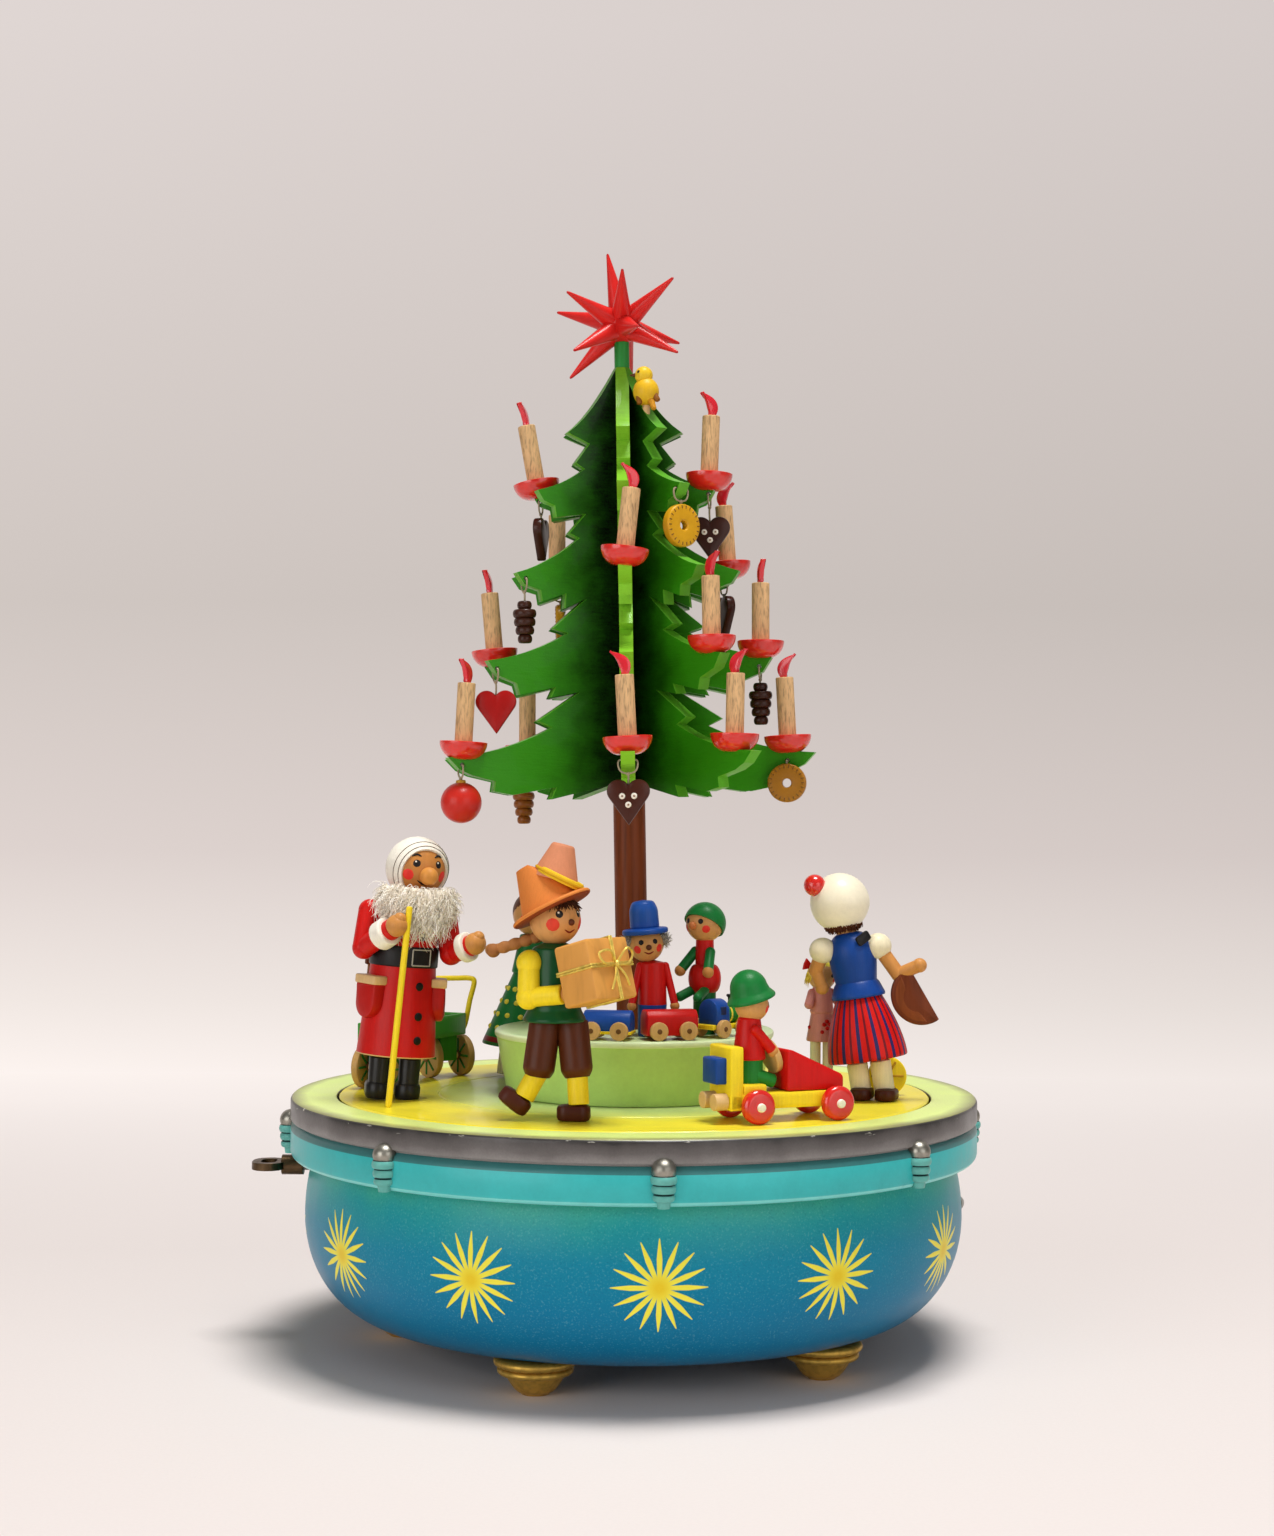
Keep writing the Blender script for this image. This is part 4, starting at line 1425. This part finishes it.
def build_toys():
    """Slabs on discs for the train, and three dolls of turned bodies with rod limbs."""
    def on_edge(bearing):
        """A place near the pedestal's edge."""
        return on_bearing(bearing, 38, PEDESTAL_Z)

    def discs(length, text):
        """Two axles with a disc and a hub at each end."""
        shapes = []
        for x in (-length * 0.29, length * 0.29):
            for s in (-1, 1):
                disc = turned([(0, -0.8), (2.85, -0.8), (2.85, 0.8), (0, 0.8)], 28, 0.35, text)
                hub = turned([(0, -1.05), (0.8, -1.05), (0.8, 1.05), (0, 1.05)], 14, 0.2, "#6e4a26")
                shapes.append(joined(disc, hub).at(shift(x, s * 4.9, 2.9) @ spin("x", 90)))
            shapes.append(rod((x, -5, 2.9), (x, 5, 2.9), 0.7, tint=PALE_WOOD))
        return joined(shapes)

    barrel_top = np.concatenate([[(-4, 2.1), (4, 2.1)], arc((0, 5), 4, 0, 180, 20)])
    wagon = slab(soften(barrel_top, 0.6, True, 4), 15, 0.5, 0, "#1a4a9c", (0, 4.5)).at(spin("z", 90))
    wagon = joined(wagon, block(15.4, 8.4, 1, 0.25, BRIGHT_YELLOW).at(shift(0, 0, 2.3)),
                   discs(15, "#d0a567"))
    truck_side = np.array([(-4, 1.4), (4, 1.4), (4, 7.4), (2.4, 9.2), (-2.4, 9.2), (-4, 7.4)], float)
    truck = slab(soften(truck_side, 0.6, True, 4), 16.4, 0.5, 0, RED, (0, 5)).at(spin("z", 90))
    truck = joined(truck, discs(16.4, "#d0a567"))
    cab_side = np.concatenate([[(-4, 4), (4, 4)], arc((0, 8), 4, 0, 180, 20)])
    cab = slab(soften(cab_side, 0.5, True, 4), 6, 0.5, 0, "#1a4a9c", (0, 7.5))
    cab = cab.at(shift(-3.5, 0, 0) @ spin("z", 90))
    window = block(2.6, 8.2, 2.6, 0.3, "#1a2b52").at(shift(-3.5, 0, 8.4))
    boiler = rod((-1, 0, 7), (7.4, 0, 7), 2.9, soft=0.6, tint=GREEN)
    bands = [rod((x, 0, 7), (x + 0.7, 0, 7), 3.05, soft=0.1, tint=LEMON) for x in (1.4, 4.6)]
    funnel = turned([(0, 8), (1.1, 8), (1.2, 12), (1.7, 12.4), (1.6, 13), (0, 13)], 20, 0.2, BLACK)
    funnel = funnel.at(shift(4.6, 0, 0))
    bed = block(16, 7.2, 1.6, 0.35, BRIGHT_YELLOW).at(shift(0, 0, 3.4))
    engine = joined(cab, window, boiler, bands, funnel, bed, discs(15, "#d0a567"))
    train = joined(wagon.at(on_edge(-12)), truck.at(on_edge(16.5)), engine.at(on_edge(46)))
    piece("little_train", train.at(shift(0, 0, 0.05)), PAINT, "turntable", "toy_train")

    clown = stand(5.6, -26, 8, 0, PEDESTAL_Z)
    body = turned([(0, 0.05), (4.5, 0.05), (4.5, 9), (4.6, 10), (4.5, 11), (4.2, 23), (0, 24)], 40, 0.6, RED)
    body = body.tint_where(lambda p: p[:, 2] < 10, "#1a4a9c")
    arms = [limb([(s * 4, -0.5, 22), (s * 6.8, -2.2, 10)], 1.2, RED) for s in (-1, 1)]
    hands = [ball((s * 6.8, -2.2, 9.6), 1.5, HAND_WOOD) for s in (-1, 1)]
    origin = (0, 0, 0)
    head = [ball(origin, 5.4, "#cd9458", (1, 1, 1), 24, 36), ball((0, -5.3, -0.6), 0.9, "#5c2f1b")]
    head += features(origin, 5.4, (25, 12, 0.85), (42, -12, 1.3))
    head.append(stroke(origin, 5.4, [(-16, -22), (0, -28), (16, -22)], 0.55, "#7c2318"))
    tufts = []
    for s in (-1, 1):
        aims = rng.normal(size=(170, 3))
        aims /= np.linalg.norm(aims, axis=1)[:, None]
        centre = np.array((s * 5.4, 0.6, 1.2))
        tufts += [ball(centre, 1.9, "#8d8780"),
                  hairs(centre + aims * 1.6, aims, 1.5, 0.17, 4.0, 5, 3).tint("#b4aea4")]
    hat = [turned([(0, 3.4), (7.2, 3.4), (7.2, 5.0), (0, 6)], 44, 0.6, "#1a4a9c"),
           turned([(0, 5), (4.6, 5), (4.5, 11), (3.4, 13.6), (0, 14)], 40, 1.0, "#1f4f9f")]
    top = joined(head, tufts, hat).at(shift(-2, 0, 28.6) @ spin("y", -5))
    funny = joined(body, arms, hands, top).at(clown)

    seat = stand(22.2, -17.6, -40, 0, PEDESTAL_Z)
    stem = turned([(0, 0.05), (3.6, 0.05), (3.6, 14), (0, 14)], 32, 0.4, "#167232")
    torso = turned(np.concatenate([[(0, 13)], bead(5.2, 2.2, 13, 22), [(2.8, 31), (0, 31)]]), 40, tint=RED)
    sticks = [limb([(s * 3, -1, 26), (s * 5.6, -5.4, 20)], 1.6, "#167232") for s in (-1, 1)]
    sticks += [limb([(s * 2.4, -3, 14), (s * 3.6, -8, 12)], 1.5, "#167232") for s in (-1, 1)]
    sticks += [ball((s * 5.6, -5.4, 20), 1.8, HAND_WOOD) for s in (-1, 1)]
    face = [ball(origin, 6, "#cd9458", (1, 1, 1), 24, 36), ball((0, -6.2, -0.6), 1.3, "#c0703c")]
    face += features(origin, 6, (25, 8, 0.85), (42, -16, 1.3))
    cap = shell(6.05, 6.7, 82, 20, 44, "#167232").at(spin("x", -35))
    capped = joined(stem, torso, sticks, joined(face, cap).at(shift(0, 0, 35))).at(seat)

    lady = stand(-41, 42.5, 15, 7)
    legs = [rod((s * 3.4, 0, 0.4), (s * 3.4, 0, 12), 2.8, tint=CREAM) for s in (-1, 1)]
    gown = turned([(0, 10), (12.3, 10), (12.3, 10.8), (4.4, 36), (0, 36)], 64, 0.4, "#167232")
    gown = joined(gown, turned([(11.4, 10.4), (12.35, 10.6), (11.65, 13), (10.9, 13)], 64, 0.2, "#7d1d1d"))
    dot = button(LEMON, 0.95).at(spin("x", 17))
    spots = [dot.at(on_bearing(b, 12.25 - 0.314 * (h - 10.8), h))
             for start, h in ((0, 16), (15, 20.5), (0, 25), (15, 29.5)) for b in range(start, 360, 30)]
    chest = turned([(0, 35), (5.4, 35), (4.1, 48.4), (0, 49)], 40, 0.8, "#167232")
    reach = [limb([(-3.6, 0, 45), (-14, -2.2, 42)], 1.7, HAND_WOOD),
             limb([(3.6, 0, 45), (8, -4, 37)], 1.7, HAND_WOOD),
             ball((-14, -2.2, 42), 2.1, HAND_WOOD)]
    crown = (0, 0, 55.6)
    head = [ball(crown, 7.4, "#cd9458", (1, 1, 1), 24, 38),
            ball((0, 0.7, 56.4), 7.5, "#5a331c", (1, 1, 1), 24, 38)]
    head += features(crown, 7.4, (24, 2, 1.0), (40, -16, 1.6))
    dancer = joined(legs, gown, spots, chest, reach, head).at(lady)
    piece("little_dolls", joined(funny, capped, dancer), PAINT, "turntable", "small_dolls")


# Stage, light and camera

EYE = (0.0005, -0.757, 0.1711)


def build_stage():
    """A floor that sweeps up into a backdrop, a light overhead and a low soft light on each side.

    Behind the object the sweep's own brightness follows the slope of the line from it to the photo's eye."""
    turn = np.radians(np.linspace(0, 90, 24))
    bend = np.column_stack([1.6 + 0.6 * np.sin(turn), 0.6 * (1 - np.cos(turn))])
    run = np.concatenate([[(-3.0, 0)], np.linspace((-1.0, 0), (1.5, 0), 6), bend, [(2.2, 3.4)]])
    x = np.linspace(-4, 4, 9)
    points = np.stack([np.broadcast_to(x, (len(run), 9)), np.repeat(run[:, :1], 9, 1),
                       np.repeat(run[:, 1:], 9, 1)], -1)
    index = np.arange(len(run) * 9).reshape(len(run), 9)
    quads = np.stack([index[:-1, :-1], index[:-1, 1:], index[1:, 1:], index[1:, :-1]], -1).reshape(-1, 4)
    mesh = bpy.data.meshes.new("paper_sweep")
    mesh.from_pydata((points.reshape(-1, 3) - (0, 0, 0.00005)).tolist(), [], quads.tolist())
    mesh.polygons.foreach_set("use_smooth", np.ones(len(quads), bool))
    finish = Finish("paper_grey")
    fibres = finish.noise((900.0, 900.0, 900.0), 3.0)
    x, y, z = finish.node("SeparateXYZ", inputs={0: finish.place()}, output=("X", "Y", "Z"))
    far = ((y - 0.15) / 0.6).clamped()
    paper = finish.shaded(rgba("#e3d9d5"), 0.985 + (fibres - 0.5) * 0.05)
    away = y - EYE[1]
    slope = ((z - EYE[2]) / away + 0.1244) / 0.4634
    stops = [(0.0, "#fbf2ee"), (0.09, "#ece3de"), (0.23, "#d9ceca"), (0.46, "#cbc2bd"), (1.0, "#dad1ce")]
    glow = finish.shaded(finish.node("ValToRGB", {"stops": stops}, {"Fac": slope.clamped()}),
                         1.0 - x / away * 0.2)
    rays = finish.node("LightPath", output=("Is Camera Ray", "Is Glossy Ray", "Is Transmission Ray"))
    seen = (rays[0] + rays[1] + rays[2]).clamped() * far
    black = (0.0, 0.0, 0.0, 1.0)
    finish.put(base_color=finish.mix(far, paper, black), roughness=0.9,
               emission_color=finish.mix(seen, black, glow))
    finish.shader.inputs["Emission Strength"].default_value = 1.0
    finish.shader.inputs["Specular IOR Level"].default_value = 0.0
    mesh.materials.append(finish.material)
    sweep = bpy.data.objects.new("paper_sweep", mesh)
    bpy.context.scene.collection.objects.link(sweep)

    for name, at, size, watts in (("top_light", (0.25, -0.25, 2.2), 0.7, 47.0),
                                  ("left_light", (-1.2, -1.35, 0.42), 1.2, 12.5),
                                  ("right_light", (1.0, -1.4, 0.45), 1.2, 6.5)):
        lamp = bpy.data.lights.new(name, "AREA")
        lamp.size = size
        lamp.energy = watts
        holder = bpy.data.objects.new(name, lamp)
        aim = np.subtract((0, 0, 0.16), at)
        facing = mathutils.Vector(aim).to_track_quat("-Z", "Y").to_matrix().to_4x4()
        holder.matrix_world = mathutils.Matrix.Translation(at) @ facing
        bpy.context.scene.collection.objects.link(holder)
    world = bpy.data.worlds.new("pale_room")
    world.use_nodes = True
    background = world.node_tree.nodes["Background"]
    background.inputs["Color"].default_value = rgba("#eeebe8")
    background.inputs["Strength"].default_value = 0.24
    bpy.context.scene.world = world

    camera = bpy.data.cameras.new("photo_view")
    camera.sensor_fit = "VERTICAL"
    camera.sensor_height = 36.0
    camera.lens = 54.66
    camera.clip_start = 0.05
    viewer = bpy.data.objects.new("photo_view", camera)
    viewer.location = EYE
    viewer.rotation_euler = (math.radians(91.04), math.radians(-0.3), 0)
    bpy.context.scene.collection.objects.link(viewer)
    bpy.context.scene.camera = viewer
    bpy.context.scene.view_settings.view_transform = "Standard"


build_base()
build_tree()
build_ornaments()
build_old_man()
build_cart()
build_child()
build_car()
build_girl()
build_toys()
build_stage()

bpy.context.view_layer.update()
